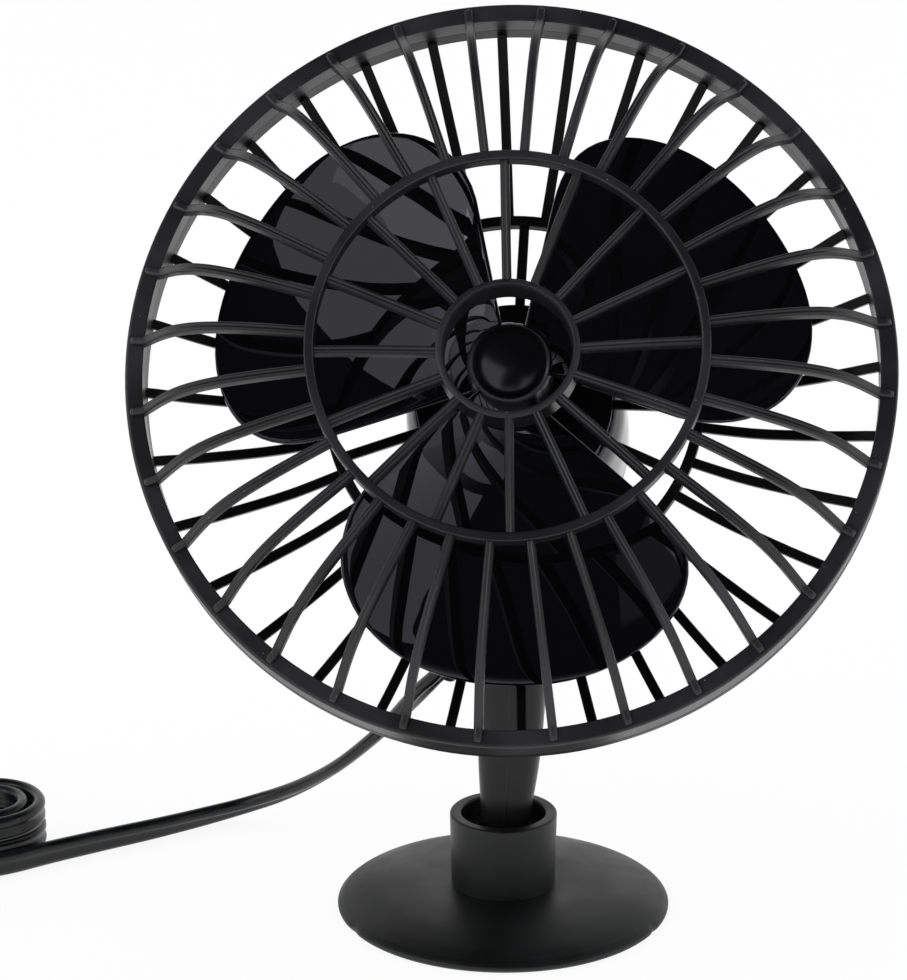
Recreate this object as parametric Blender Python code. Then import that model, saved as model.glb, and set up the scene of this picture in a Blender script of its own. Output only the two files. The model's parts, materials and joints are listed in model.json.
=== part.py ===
"""A small 12 V car fan: a caged three-blade head tilts on a tapered stem, whose ball swivels in a
suction cup's neck. Its flat twin lead ends in a lighter plug. Metres, +Z up; the fan faces -Y."""
import math

import bmesh
import bpy
from mathutils import Matrix, Vector

MM = 0.001

# Fits shared by neighbouring pieces
GAP = 0.3 * MM
RUNNING_GAP = 0.08 * MM
OVERRUN = 2.0 * MM
WELD = 0.0001 * MM
SMOOTH_ANGLE = math.radians(35)

# Pose of the stem and the head
STEM_LEAN = math.radians(1.24)
HEAD_TILT = math.radians(33.3)

# Suction cup, lip to collar
CUP_RADIUS = 31.9 * MM
CUP_EDGE = 1.2 * MM
CUP_LIP_WIDTH = 2.4 * MM
CUP_HOLLOW = 2.1 * MM
CUP_RISE = 5.3 * MM
CUP_DOME_SHARES = ((0.96, 0.2), (0.82, 0.48), (0.6, 0.74), (0.3, 0.93))
CUP_HOLLOW_SHARES = ((0.0, 0.0), (0.4, 0.7), (1.0, 1.0))
COLLAR_RADIUS = 10.3 * MM
COLLAR_FOOT_RADIUS = 9.7 * MM
COLLAR_HEIGHT = 14.2 * MM
COLLAR_CHAMFER = 0.6 * MM
COLLAR_BORE = 8.1 * MM
CUP_FLOOR = 3.7 * MM

# Ball and its two-piece socket
BALL_RADIUS = 6.2 * MM
BALL_HEIGHT = 12.0 * MM
BALL_RINGS = 9
SOCKET_CAP_HEIGHT = 3.6 * MM
SOCKET_STEPS = 4

# Stem
STEM_LENGTH = 55.0 * MM
STEM_FOOT_WIDTH = 9.0 * MM
STEM_TOP_WIDTH = 14.0 * MM
STEM_FOOT_DEPTH = 8.0 * MM
STEM_TOP_DEPTH = 12.0 * MM
STEM_SWELL_SHARES = ((0.06, 0.0), (0.12, 0.06), (0.33, 0.45), (0.58, 0.76), (0.8, 0.93), (1.0, 1.0))
STEM_BOW = 0.75 * MM
FORK_DEPTH = 8.6 * MM
EYE_INSET = 0.1 * MM
FORK_RADIUS = STEM_TOP_DEPTH / 2 + EYE_INSET

# Tilt pivot: the lug under the housing, its bolt, nut and knob
LUG_WIDTH = 6.0 * MM
LUG_RADIUS = 5.4 * MM
LUG_NECK = 7.6 * MM
LUG_STEPS = 14
PIVOT_STANDOFF = 7.0 * MM
PIVOT_BACK = 45.7 * MM
BOLT_RADIUS = 1.6 * MM
NUT_RADIUS = 3.4 * MM
NUT_HEIGHT = 2.2 * MM
BOLT_TAIL = 0.6 * MM
KNOB_RADIUS = 7.0 * MM
KNOB_LENGTH = 6.4 * MM
KNOB_WAVE = 0.7 * MM
KNOB_LOBES = 6
KNOB_STEPS = 30
KNOB_SOCKET = 4.0 * MM
KNOB_CHAMFER = 0.8 * MM

# Cage: two grilles that meet at the rim
RIM_RADIUS = 69.7 * MM
RIM_WIDTH = 3.3 * MM
RIM_ROUND = 0.4 * MM
FRONT_RIM_DEPTH = 6.5 * MM
REAR_RIM_DEPTH = 2.4 * MM
LAP_INSET = 1.5 * MM
LAP_RADIUS = RIM_RADIUS - LAP_INSET
LAP_HEIGHT = 1.3 * MM
RIB_WIDTH = 1.5 * MM
RIB_DEPTH = 2.6 * MM
RIB_FOOT = 1.6 * MM
RIB_TIP_INSET = 1.1 * MM
RIB_TIP_WIDTH = 0.0 * MM
OUTER_RIBS = 32
WIDEST_CELL = math.radians(7)
INNER_RIBS = 16
GRILLE_CLOCK = math.radians(-3.93)
FRONT_DOME = 15.5 * MM
MIDDLE_RING_RADIUS = 36.0 * MM
MIDDLE_RING_WIDTH = 1.7 * MM
RING_PROUD = 0.4 * MM
RING_DEPTH = 3.4 * MM
FRONT_RIB_SHARES = ((0.19, 0.61), (0.38, 0.87), (0.6, 0.97), (1.0, 1.0))
NOSE_RING_RADIUS = 12.9 * MM
NOSE_RING_WIDTH = 1.4 * MM
NOSE_RING_DEPTH = 7.4 * MM
NOSE_RING_DISH = 2.6 * MM
REAR_RING_RADIUS = 35.2 * MM
REAR_RING_WIDTH = 1.9 * MM
REAR_DISH = 20.0 * MM
REAR_RIB_SHARES = ((0.24, 0.38), (0.62, 0.82), (1.0, 1.0))
REAR_RIB_DEPTH = 1.9 * MM
REAR_INNER_CLOCK = math.radians(5.6)
PLATE_THICKNESS = 1.8 * MM
PLATE_DROP = 0.6 * MM

# Rotor
BLADES = 3
BLADE_CLEARANCE = 10.2 * MM
BLADE_RADIUS = RIM_RADIUS - RIM_WIDTH - BLADE_CLEARANCE
BLADE_TIP_LENGTH = 24.5 * MM
BLADE_SHOULDER = BLADE_RADIUS - BLADE_TIP_LENGTH
BLADE_LEADING_ANGLE = math.radians(50.5)
BLADE_TRAILING_ANGLE = math.radians(46)
BLADE_LEADING_ROUND = 2.83
BLADE_TRAILING_ROUND = 1.55
BLADE_ROUND_POWER = 3.0
BLADE_RISE_PER_RADIAN = 7.0 * MM
BLADE_CENTRE_BACK = 2.25 * MM
BLADE_SWEEP = 8.3 * MM
BLADE_CUP = 10.5 * MM
BLADE_THICKNESS = 1.5 * MM
BLADE_ROOT_SHARE = 0.8
BLADE_RADIAL_SHARES = (0.0, 0.5, 1.0)
BLADE_ROUND_SHARES = (0.35, 0.6, 0.78, 0.9, 0.97, 0.995)
BLADE_CHORD_CELLS = 7
HUB_RADIUS = 7.7 * MM
HUB_FRONT = 2.4 * MM
HUB_BACK = 14.4 * MM
HUB_WALL = 1.5 * MM
HUB_BOSS_RADIUS = 3.0 * MM
NOSE_RISE = 3.4 * MM
NOSE_STEPS = 4
SHAFT_RADIUS = 1.0 * MM
SHAFT_FRONT = 1.0 * MM

# Motor housing and rear cap, sized round the motor's can and the screw posts beside it
CAN_RADIUS = 11.5 * MM
CAN_BOSS_RADIUS = 4.5 * MM
POST_RADIUS = 2.7 * MM
POST_TO_CAN = 0.7 * MM
POST_TO_WALL = 1.6 * MM
POST_OFFSET = CAN_RADIUS + POST_TO_CAN + POST_RADIUS
HOUSING_WALL = 1.8 * MM
HOUSING_RADIUS = POST_OFFSET + POST_RADIUS + POST_TO_WALL + HOUSING_WALL
HOUSING_TAPER = 2.5 * MM
HOUSING_FRONT_RADIUS = HOUSING_RADIUS - HOUSING_TAPER
HOUSING_SHOULDER = 4.6 * MM
HOUSING_SHOULDER_TAPER = 0.7 * MM
HOUSING_SHOULDER_RADIUS = HOUSING_RADIUS - HOUSING_SHOULDER_TAPER
HOUSING_LENGTH = 27.3 * MM
PLATE_RADIUS = HOUSING_FRONT_RADIUS - GAP
PLATE_HOLE_CLEARANCE = 1.1 * MM
PLATE_HOLE = CAN_BOSS_RADIUS + PLATE_HOLE_CLEARANCE
HOUSING_NOSE_CLEARANCE = 1.5 * MM
HOUSING_NOSE_HOLE = CAN_BOSS_RADIUS + HOUSING_NOSE_CLEARANCE
PIVOT_DROP = HOUSING_RADIUS + PIVOT_STANDOFF
CAP_LENGTH = 16.7 * MM
CAP_SHARES = ((1.0, 0.0), (0.985, 0.4), (0.89, 0.76), (0.74, 0.95), (0.57, 1.0))
CAP_LIP = 2.6 * MM
CAP_LIP_WALL = 0.9 * MM
VENT_WIDTH = 1.3 * MM
VENT_LENGTH = 6.0 * MM
VENT_START = 2.6 * MM
VENT_ANGLES = (-18, 0, 18)
CAP_POST_RADIUS = 3.0 * MM
POST_TURN = math.radians(11)
CASE_SCREW_RADIUS = 1.0 * MM
CASE_SCREW_HEAD = 1.9 * MM
CASE_SCREW_HEAD_HEIGHT = 1.4 * MM
CASE_SCREW_LENGTH = 13.0 * MM
POST_SEAT = 6.0 * MM

# Motor
CAN_WALL = 0.9 * MM
CAN_LENGTH = 26.0 * MM
CAN_BOSS_LENGTH = 3.4 * MM
BEARING_RADIUS = 3.2 * MM
BEARING_LENGTH = 2.6 * MM
MAGNET_THICKNESS = 1.7 * MM
MAGNET_SPAN = math.radians(140)
MAGNET_LENGTH = 17.0 * MM
MAGNET_STEPS = 10
ARMATURE_LENGTH = 15.0 * MM
ARMATURE_POLES = 5
POLE_STEPS = 6
POLE_DEPTH = 1.6 * MM
COMMUTATOR_RADIUS = 3.0 * MM
COMMUTATOR_LENGTH = 3.0 * MM
END_BELL_THICKNESS = 2.0 * MM
END_BOSS_LENGTH = 3.4 * MM
BRUSH_WIDTH = 2.0 * MM
BRUSH_REACH = 2.6 * MM
TERMINAL_INSET = 4.5 * MM
TERMINAL_OFFSET = CAN_RADIUS - TERMINAL_INSET
TERMINAL_WIDTH = 2.2 * MM
TERMINAL_THICKNESS = 0.5 * MM
TERMINAL_LENGTH = 4.0 * MM
PLATE_SCREW_INSET = 2.9 * MM
PLATE_SCREW_OFFSET = CAN_RADIUS - PLATE_SCREW_INSET
PLATE_SCREW_RADIUS = 1.0 * MM
PLATE_SCREW_HEAD = 1.9 * MM
PLATE_SCREW_HEAD_HEIGHT = 1.2 * MM
PLATE_SCREW_LENGTH = 6.2 * MM

# Rocker switch on the rear cap
SWITCH_FRAME_WIDTH = 10.4 * MM
SWITCH_FRAME_HEIGHT = 15.6 * MM
SWITCH_FRAME_THICKNESS = 1.4 * MM
SWITCH_TUB_WIDTH = 8.4 * MM
SWITCH_TUB_HEIGHT = 13.2 * MM
SWITCH_TUB_DEPTH = 8.6 * MM
SWITCH_TUB_WALL = 0.8 * MM
SWITCH_TUB_FLOOR = 1.2 * MM
ROCKER_HALF_TRAVEL = math.radians(8)
ROCKER_SIDE_GAP = 0.35 * MM
ROCKER_PROUD = 1.5 * MM
ROCKER_DIP = 0.9 * MM
ROCKER_DEPTH = 3.2 * MM
ROCKER_FOOT_SHARE = 0.62

# Lead: flat twin, from the stem's gland to the plug
LEAD_WIDTH = 5.0 * MM
LEAD_THICKNESS = 2.5 * MM
LEAD_STEPS = 28
GLAND_DROP = 14.0 * MM
GLAND_HEIGHT = STEM_LENGTH - GLAND_DROP
GLAND_SIDE_SHARE = 0.35
GLAND_DIRECTION = (-0.62, 0.33, -0.71)
GLAND_ROOT_RADIUS = 2.6 * MM
GLAND_ROOT_DEPTH = 3.0 * MM
GLAND_RADIUS = 3.6 * MM
GLAND_END_RADIUS = 2.9 * MM
GLAND_LENGTH = 10.0 * MM
GLAND_FLANGE = 1.4 * MM
LEAD_FLOOR = 2.6 * MM
LEAD_ROUTE = (
    (-20.6, 14.6, 34.0),
    (-26.0, 19.0, 26.9),
    (-33.2, 25.0, 18.6),
    (-40.0, 31.0, 12.0),
    (-46.6, 35.0, 7.2),
    (-53.5, 36.6, 4.0),
    (-60.0, 34.4, 2.7),
    (-70.2, 26.8, 2.6),
    (-80.1, 20.0, 2.6),
    (-89.6, 13.3, 2.6),
    (-99.1, 5.8, 2.8),
)
LEAD_TWIST = ((0.0, -70), (0.06, -95), (0.38, -100), (0.48, -60), (0.56, -26), (0.75, -14), (1.0, 0))

# Hank of the spare lead, its tie and the plug beside it
HANK_CENTRE = (-138.4, -6.0)
HANK_ANGLE = math.radians(36)
HANK_RUN = 90.0 * MM
HANK_HALF_WIDTH = 11.5 * MM
HANK_PITCH = 3.25 * MM
HANK_WAIST_SHARE = 0.08
HANK_START_TURN = 0.06
HANK_TURNS = 4.25
HANK_POINTS_PER_TURN = 24
HANK_LAYER = 5.45 * MM
HANK_UPPER_SHIFT = 2.2 * MM
HANK_CLIMB_TURNS = 0.2
HANK_SQUEEZE = 1.0 * MM
HANK_SQUEEZE_TURNS = 0.3
TIE_THICKNESS = 0.5 * MM
TIE_WIDTH = 6.0 * MM
TAIL_STEPS = 20
TAIL_ROUTE = (
    (-62.0, -9.4, 6.0),
    (-69.6, -1.6, 3.4),
    (-72.6, 8.0, 2.6),
    (-70.8, 18.0, 4.0),
    (-65.6, 24.6, 7.6),
)
PLUG_RADIUS = 10.4 * MM
PLUG_BODY_LENGTH = 36.0 * MM
PLUG_TAPER = 6.0 * MM
PLUG_THROAT_RADIUS = 8.2 * MM
PLUG_WALL = 2.2 * MM
PLUG_CAP_RADIUS = 7.6 * MM
PLUG_CAP_LENGTH = 9.0 * MM
PLUG_CAP_FLOOR = 1.6 * MM
PLUG_CAP_BORE = 3.6 * MM
PIN_RADIUS = 3.2 * MM
PIN_PROUD = 5.0 * MM
PIN_SHOULDER_RADIUS = 4.6 * MM
PIN_SHOULDER = 2.0 * MM
PIN_TRAVEL = 3.0 * MM
FUSE_RADIUS = 3.1 * MM
FUSE_LENGTH = 25.0 * MM
BOOT_RADIUS = 5.6 * MM
BOOT_END_RADIUS = 3.0 * MM
BOOT_LENGTH = 14.0 * MM
PLUG_START = -42.0 * MM
PLUG_OFFSET = 26.0 * MM
CONTACT_LENGTH = 14.0 * MM
CONTACT_WIDTH = 4.0 * MM
CONTACT_PROUD = 1.6 * MM
CONTACT_ROOT = 1.2 * MM
CONTACT_TRAVEL = 1.2 * MM
CONTACT_CENTRE = 22.0 * MM
CONTACT_STEPS = 6

# Facets
FINE_STEPS = 36
ROUND_STEPS = 26
PLAIN_STEPS = 18
SMALL_STEPS = 14
TINY_STEPS = 10


def srgb(code):
    """Linear red, green, blue and alpha of an sRGB hex colour."""
    parts = [int(code[i:i + 2], 16) / 255 for i in (0, 2, 4)]
    return [p / 12.92 if p <= 0.04045 else ((p + 0.055) / 1.055) ** 2.4 for p in parts] + [1.0]


def material(name, code, roughness, metallic=0.0):
    """A Principled BSDF material with one colour."""
    made = bpy.data.materials.new(name)
    made.use_nodes = True
    made.diffuse_color = srgb(code)
    shader = made.node_tree.nodes["Principled BSDF"]
    shader.inputs["Base Color"].default_value = srgb(code)
    shader.inputs["Roughness"].default_value = roughness
    shader.inputs["Metallic"].default_value = metallic
    return made


def empty(name, parent=None, place=None):
    """An empty that carries pieces and holds their joint's axis."""
    made = bpy.data.objects.new(name, None)
    bpy.context.scene.collection.objects.link(made)
    made.parent = parent
    made.matrix_basis = place or Matrix()
    return made


def piece(name, mesh_source, finish, parent, place=None, smooth=True):
    """Turns a bmesh into a named object on its parent, with outward faces."""
    bmesh.ops.remove_doubles(mesh_source, verts=mesh_source.verts, dist=WELD)
    bmesh.ops.recalc_face_normals(mesh_source, faces=mesh_source.faces)
    mesh = bpy.data.meshes.new(name)
    mesh_source.to_mesh(mesh)
    mesh_source.free()
    if smooth:
        mesh.shade_smooth()
        mesh.set_sharp_from_angle(angle=SMOOTH_ANGLE)
    made = bpy.data.objects.new(name, mesh)
    bpy.context.scene.collection.objects.link(made)
    made.parent = parent
    made.matrix_basis = place or Matrix()
    if finish:
        mesh.materials.append(finish)
    return made


def turned(profile, steps):
    """A solid of revolution about Z from a closed outline of (radius, height) points."""
    made = bmesh.new()
    points = [made.verts.new((r, 0, z)) for r, z in profile]
    edges = [made.edges.new((a, b)) for a, b in zip(points, points[1:] + points[:1])]
    bmesh.ops.spin(
        made, geom=points + edges, cent=(0, 0, 0), axis=(0, 0, 1), angle=math.tau, steps=steps
    )
    bmesh.ops.remove_doubles(made, verts=made.verts, dist=WELD)
    on_axis = [e for e in made.edges if not e.link_faces]
    bmesh.ops.delete(made, geom=on_axis, context="EDGES")
    return made


def tube(inner, outer, low, high, steps):
    """A plain ring or bush about Z."""
    return turned([(inner, low), (outer, low), (outer, high), (inner, high)], steps)


def rod(radius, low, high, steps):
    """A plain cylinder about Z."""
    return turned([(0, low), (radius, low), (radius, high), (0, high)], steps)


def prism(outline, low, high):
    """An outline of (x, y) points raised from one height to another."""
    made = bmesh.new()
    face = made.faces.new([made.verts.new((x, y, low)) for x, y in outline])
    grown = bmesh.ops.extrude_face_region(made, geom=[face])
    tops = [v for v in grown["geom"] if isinstance(v, bmesh.types.BMVert)]
    bmesh.ops.translate(made, verts=tops, vec=(0, 0, high - low))
    return made


def block(width, height, low, high):
    """A rectangular prism centred on Z."""
    x, y = width / 2, height / 2
    return prism(((-x, -y), (x, -y), (x, y), (-x, y)), low, high)


def loft(rings):
    """A closed solid through rings of equally many points."""
    made = bmesh.new()
    rows = [[made.verts.new(p) for p in ring] for ring in rings]
    for below, above in zip(rows, rows[1:]):
        for i in range(len(below)):
            j = (i + 1) % len(below)
            made.faces.new((below[i], below[j], above[j], above[i]))
    made.faces.new(list(reversed(rows[0])))
    made.faces.new(rows[-1])
    return made


def circle(radius, steps, start=0.0):
    """Points round a circle."""
    turns = [start + math.tau * i / steps for i in range(steps)]
    return [(radius * math.cos(a), radius * math.sin(a)) for a in turns]


def combine(target, other, how="DIFFERENCE"):
    """Cuts or joins a helper solid, which the object then hides."""
    other.hide_render = True
    other.display_type = "WIRE"
    step = target.modifiers.new(other.name, "BOOLEAN")
    step.operation = how
    step.solver = "EXACT"
    step.object = other


def helper(target, source, how="DIFFERENCE", place=None, tag="cut"):
    """Makes a helper solid beside its target and combines it."""
    name = f"{target.name}_{tag}_{len(target.modifiers)}"
    combine(target, piece(name, source, None, target.parent, place, smooth=False), how)


def along(direction, at=(0, 0, 0)):
    """A placement whose Z runs along a direction."""
    return Matrix.Translation(at) @ Vector(direction).to_track_quat("Z", "Y").to_matrix().to_4x4()


def shift(x=0.0, y=0.0, z=0.0):
    """A placement by a move alone."""
    return Matrix.Translation((x, y, z))


# Turns a shape drawn along Z so that its X, Y and Z run along Y, Z and X
ACROSS = Matrix(((0, 0, 1, 0), (1, 0, 0, 0), (0, 1, 0, 0), (0, 0, 0, 1)))


class Lattice:
    """A moulded grille: turned rings joined by radial ribs, sewn into one closed skin."""

    def __init__(self):
        self.mesh = bmesh.new()
        self.found = {}

    def corner(self, radius, angle, height):
        """The one vertex at a polar place; angles run clockwise from the top."""
        place = (radius * math.sin(angle), radius * math.cos(angle), height)
        key = tuple(round(c / WELD) for c in place)
        if key not in self.found:
            self.found[key] = self.mesh.verts.new(place)
        return self.found[key]

    def skin(self, corners):
        """A face through corners, with repeats left out."""
        kept = [c for i, c in enumerate(corners) if c is not corners[i - 1]]
        if len(kept) > 2:
            self.mesh.faces.new(kept)

    def column(self, radius, angle, top, bottom, between):
        """Corners down an edge, with the heights that lie on it."""
        heights = [top] + sorted((h for h in between if bottom < h < top), reverse=True) + [bottom]
        return [self.corner(radius, angle, h) for h in heights]

    def ribs(self, angles, width, stations, ring_heights):
        """Ribs through (radius, top, bottom) stations; ring_heights lie on their two end edges."""
        last = len(stations) - 1
        for middle in angles:
            for side in (-1, 1):
                columns = []
                for i, (radius, top, bottom) in enumerate(stations):
                    angle = middle + side * math.asin(width / 2 / radius)
                    between = ring_heights if i in (0, last) else ()
                    columns.append(self.column(radius, angle, top, bottom, between))
                for near, far in zip(columns, columns[1:]):
                    self.skin(near + far[::-1])
            for (r0, top0, low0), (r1, top1, low1) in zip(stations, stations[1:]):
                a0 = math.asin(width / 2 / r0)
                a1 = math.asin(width / 2 / r1)
                for h0, h1 in ((top0, top1), (low0, low1)):
                    self.skin([
                        self.corner(r0, middle - a0, h0),
                        self.corner(r0, middle + a0, h0),
                        self.corner(r1, middle + a1, h1),
                        self.corner(r1, middle - a1, h1),
                    ])

    def ring(self, outline, sets, walls):
        """A turned ring. outline holds (radius, height, rib line width); sets are lists of rib
        angles; walls names, for an outline edge, the set whose ribs end there and their heights."""
        ribs = sorted((a, n) for n, angles in enumerate(sets) for a in angles)
        lines = []
        for (a, n), (after, _) in zip(ribs, ribs[1:] + ribs[:1]):
            lines += [(a, -1, n), (a, 1, n)]
            pitch = (after - a) % math.tau
            if pitch > WIDEST_CELL:
                lines.append((a + pitch / 2, 0, None))
        for i, here in enumerate(lines):
            there = lines[(i + 1) % len(lines)]
            wrap = math.tau if i == len(lines) - 1 else 0.0
            rib = here[0] == there[0] and here[2] == there[2]
            for e, (r0, h0, w0) in enumerate(outline):
                r1, h1, w1 = outline[(e + 1) % len(outline)]
                ends = []
                for (middle, side, number), turn in ((here, 0.0), (there, wrap)):
                    a0 = middle + turn + side * math.asin(w0 / 2 / r0)
                    a1 = middle + turn + side * math.asin(w1 / 2 / r1)
                    between = walls[e][1] if e in walls and walls[e][0] == number else ()
                    if between:
                        column = self.column(r0, a0, max(h0, h1), min(h0, h1), between)
                        column = column if h0 > h1 else column[::-1]
                    else:
                        column = [self.corner(r0, a0, h0), self.corner(r1, a1, h1)]
                    ends.append(column)
                if e in walls and rib and walls[e][0] == here[2]:
                    if walls[e][1]:
                        self.around_rib(ends, walls[e][1])
                else:
                    self.skin(ends[0] + ends[1][::-1])

    def around_rib(self, ends, heights):
        """The bits of a ring's wall above and below a rib's end."""
        left, right = ends
        top, bottom = heights
        above = [i for i, c in enumerate(left) if c.co.z >= top - WELD]
        below = [i for i, c in enumerate(left) if c.co.z <= bottom + WELD]
        for part in (above, below):
            if len(part) > 1:
                self.skin([left[i] for i in part] + [right[i] for i in reversed(part)])

    def wedge(self, angles, width, inner, rib_top, face, tip, tip_width):
        """Pointed rib ends that stand on the rim's face."""
        for middle in angles:
            a0 = math.asin(width / 2 / inner)
            a1 = math.asin(tip_width / 2 / tip)
            tops = [self.corner(inner, middle + s * a0, rib_top) for s in (-1, 1)]
            feet = [self.corner(inner, middle + s * a0, face) for s in (-1, 1)]
            ends = [self.corner(tip, middle + s * a1, face) for s in (-1, 1)]
            self.skin([tops[0], tops[1], ends[1], ends[0]])
            for i in (0, 1):
                self.skin([tops[i], feet[i], ends[i]])


def rib_angles(count, offset):
    """Evenly spaced angles in one turn, in rising order."""
    return sorted((offset + math.tau * i / count) % math.tau for i in range(count))


def front_grille(finish, parent):
    """The domed front guard: rim, 32 outer ribs, middle ring, 16 inner ribs and the nose ring."""
    rim_inner = RIM_RADIUS - RIM_WIDTH
    pitch = math.tau / OUTER_RIBS
    outer = rib_angles(OUTER_RIBS, GRILLE_CLOCK + pitch / 2)
    inner = rib_angles(INNER_RIBS, GRILLE_CLOCK)
    middle_inner = MIDDLE_RING_RADIUS - MIDDLE_RING_WIDTH
    nose_top = FRONT_DOME - NOSE_RING_DISH
    rib_start = RIB_FOOT
    run = rim_inner - MIDDLE_RING_RADIUS
    stations = [(rim_inner, rib_start, rib_start - RIB_DEPTH)]
    for across, up in FRONT_RIB_SHARES:
        top = rib_start + (FRONT_DOME - RING_PROUD - rib_start) * up
        stations.append((rim_inner - run * across, top, top - RIB_DEPTH))
    ring_rib_top, ring_rib_low = stations[-1][1:]
    grille = Lattice()
    grille.ribs(outer, RIB_WIDTH, stations, (0.0, FRONT_DOME, FRONT_DOME - RING_DEPTH))
    tip = RIM_RADIUS - RIB_TIP_INSET
    back = -FRONT_RIM_DEPTH
    lap_floor = back + LAP_HEIGHT + GAP
    rim = [
        (rim_inner, 0.0, RIB_WIDTH),
        (tip, 0.0, RIB_TIP_WIDTH),
        (RIM_RADIUS, -RIM_ROUND, RIB_TIP_WIDTH),
        (RIM_RADIUS, back, RIB_TIP_WIDTH),
        (LAP_RADIUS, back, RIB_TIP_WIDTH),
        (LAP_RADIUS, lap_floor, RIB_TIP_WIDTH),
        (rim_inner, lap_floor, RIB_WIDTH),
    ]
    foot = (rib_start, rib_start - RIB_DEPTH)
    grille.ring(rim, [outer], {6: (0, foot), 0: (0, ())})
    grille.wedge(outer, RIB_WIDTH, rim_inner, rib_start, 0.0, tip, RIB_TIP_WIDTH)
    inner_top = FRONT_DOME - 2 * RING_PROUD
    ring = [
        (middle_inner, FRONT_DOME, RIB_WIDTH),
        (MIDDLE_RING_RADIUS, FRONT_DOME, RIB_WIDTH),
        (MIDDLE_RING_RADIUS, FRONT_DOME - RING_DEPTH, RIB_WIDTH),
        (middle_inner, FRONT_DOME - RING_DEPTH, RIB_WIDTH),
    ]
    inner_foot = (inner_top, inner_top - RIB_DEPTH + RING_PROUD)
    grille.ring(ring, [outer, inner], {1: (0, (ring_rib_top, ring_rib_low)), 3: (1, inner_foot)})
    nose_foot = (nose_top - RING_PROUD, nose_top - RING_PROUD - RIB_DEPTH)
    grille.ribs(
        inner,
        RIB_WIDTH,
        [(middle_inner, *inner_foot), (NOSE_RING_RADIUS, *nose_foot)],
        (),
    )
    nose_inner = NOSE_RING_RADIUS - NOSE_RING_WIDTH
    nose = [
        (nose_inner, nose_top, RIB_WIDTH),
        (NOSE_RING_RADIUS, nose_top, RIB_WIDTH),
        (NOSE_RING_RADIUS, nose_top - NOSE_RING_DEPTH, RIB_WIDTH),
        (nose_inner, nose_top - NOSE_RING_DEPTH, RIB_WIDTH),
    ]
    grille.ring(nose, [inner], {1: (0, nose_foot)})
    return piece("front_grille", grille.mesh, finish, parent)


def rear_grille(finish, parent):
    """The dished rear guard: rim that laps into the front one, 32 ribs, rear ring, 16 ribs and centre plate."""
    rim_inner = RIM_RADIUS - RIM_WIDTH
    outer = rib_angles(OUTER_RIBS, GRILLE_CLOCK)
    inner = rib_angles(INNER_RIBS, GRILLE_CLOCK + REAR_INNER_CLOCK)
    top = -FRONT_RIM_DEPTH - GAP
    low = top - REAR_RIM_DEPTH
    rib_top = top - GAP
    run = rim_inner - REAR_RING_RADIUS
    stations = [(rim_inner, rib_top, low + GAP)]
    for across, down in REAR_RIB_SHARES:
        height = rib_top - (REAR_DISH + rib_top) * down
        stations.append((rim_inner - run * across, height, height - REAR_RIB_DEPTH))
    ring_foot = stations[-1][1:]
    grille = Lattice()
    grille.ribs(outer, RIB_WIDTH, stations, ())
    crest = top + LAP_HEIGHT
    rim = [
        (rim_inner, crest, RIB_WIDTH),
        (LAP_RADIUS - GAP, crest, RIB_TIP_WIDTH),
        (LAP_RADIUS - GAP, top, RIB_TIP_WIDTH),
        (RIM_RADIUS, top, RIB_TIP_WIDTH),
        (RIM_RADIUS, low, RIB_TIP_WIDTH),
        (rim_inner, low, RIB_WIDTH),
    ]
    grille.ring(rim, [outer], {5: (0, stations[0][1:])})
    ring_inner = REAR_RING_RADIUS - REAR_RING_WIDTH
    ring_top = -REAR_DISH + RING_PROUD
    ring_low = ring_top - REAR_RIB_DEPTH - 2 * RING_PROUD
    ring = [
        (ring_inner, ring_top, RIB_WIDTH),
        (REAR_RING_RADIUS, ring_top, RIB_WIDTH),
        (REAR_RING_RADIUS, ring_low, RIB_WIDTH),
        (ring_inner, ring_low, RIB_WIDTH),
    ]
    inner_foot = (-REAR_DISH, -REAR_DISH - REAR_RIB_DEPTH)
    grille.ring(ring, [outer, inner], {1: (0, ring_foot), 3: (1, inner_foot)})
    plate_top = -REAR_DISH - PLATE_DROP
    plate_low = plate_top - PLATE_THICKNESS
    plate_foot = (plate_top - PLATE_THICKNESS / 6, plate_low + PLATE_THICKNESS / 6)
    grille.ribs(inner, RIB_WIDTH, [(ring_inner, *inner_foot), (PLATE_RADIUS, *plate_foot)], ())
    plate = [
        (PLATE_HOLE, plate_top, RIB_WIDTH / 2),
        (PLATE_RADIUS, plate_top, RIB_WIDTH),
        (PLATE_RADIUS, plate_low, RIB_WIDTH),
        (PLATE_HOLE, plate_low, RIB_WIDTH / 2),
    ]
    grille.ring(plate, [inner], {1: (0, plate_foot)})
    made = piece("rear_grille", grille.mesh, finish, parent)
    for side in (-1, 1):
        hole = rod(PLATE_SCREW_RADIUS + GAP, plate_low - OVERRUN, plate_top + OVERRUN, TINY_STEPS)
        helper(made, hole, place=shift(y=side * PLATE_SCREW_OFFSET))
    return made


def blade_edges(radius):
    """Angles from a blade's middle to its leading and trailing edges at a radius: full to the
    shoulder, then each drawn in to the tip by its own round."""
    out = max(0.0, (radius - BLADE_SHOULDER) / (BLADE_RADIUS - BLADE_SHOULDER))
    leading = BLADE_LEADING_ANGLE * (1 - out ** BLADE_LEADING_ROUND) ** (1 / BLADE_ROUND_POWER)
    trailing = BLADE_TRAILING_ANGLE * (1 - out ** BLADE_TRAILING_ROUND) ** (1 / BLADE_ROUND_POWER)
    return leading, trailing


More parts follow.
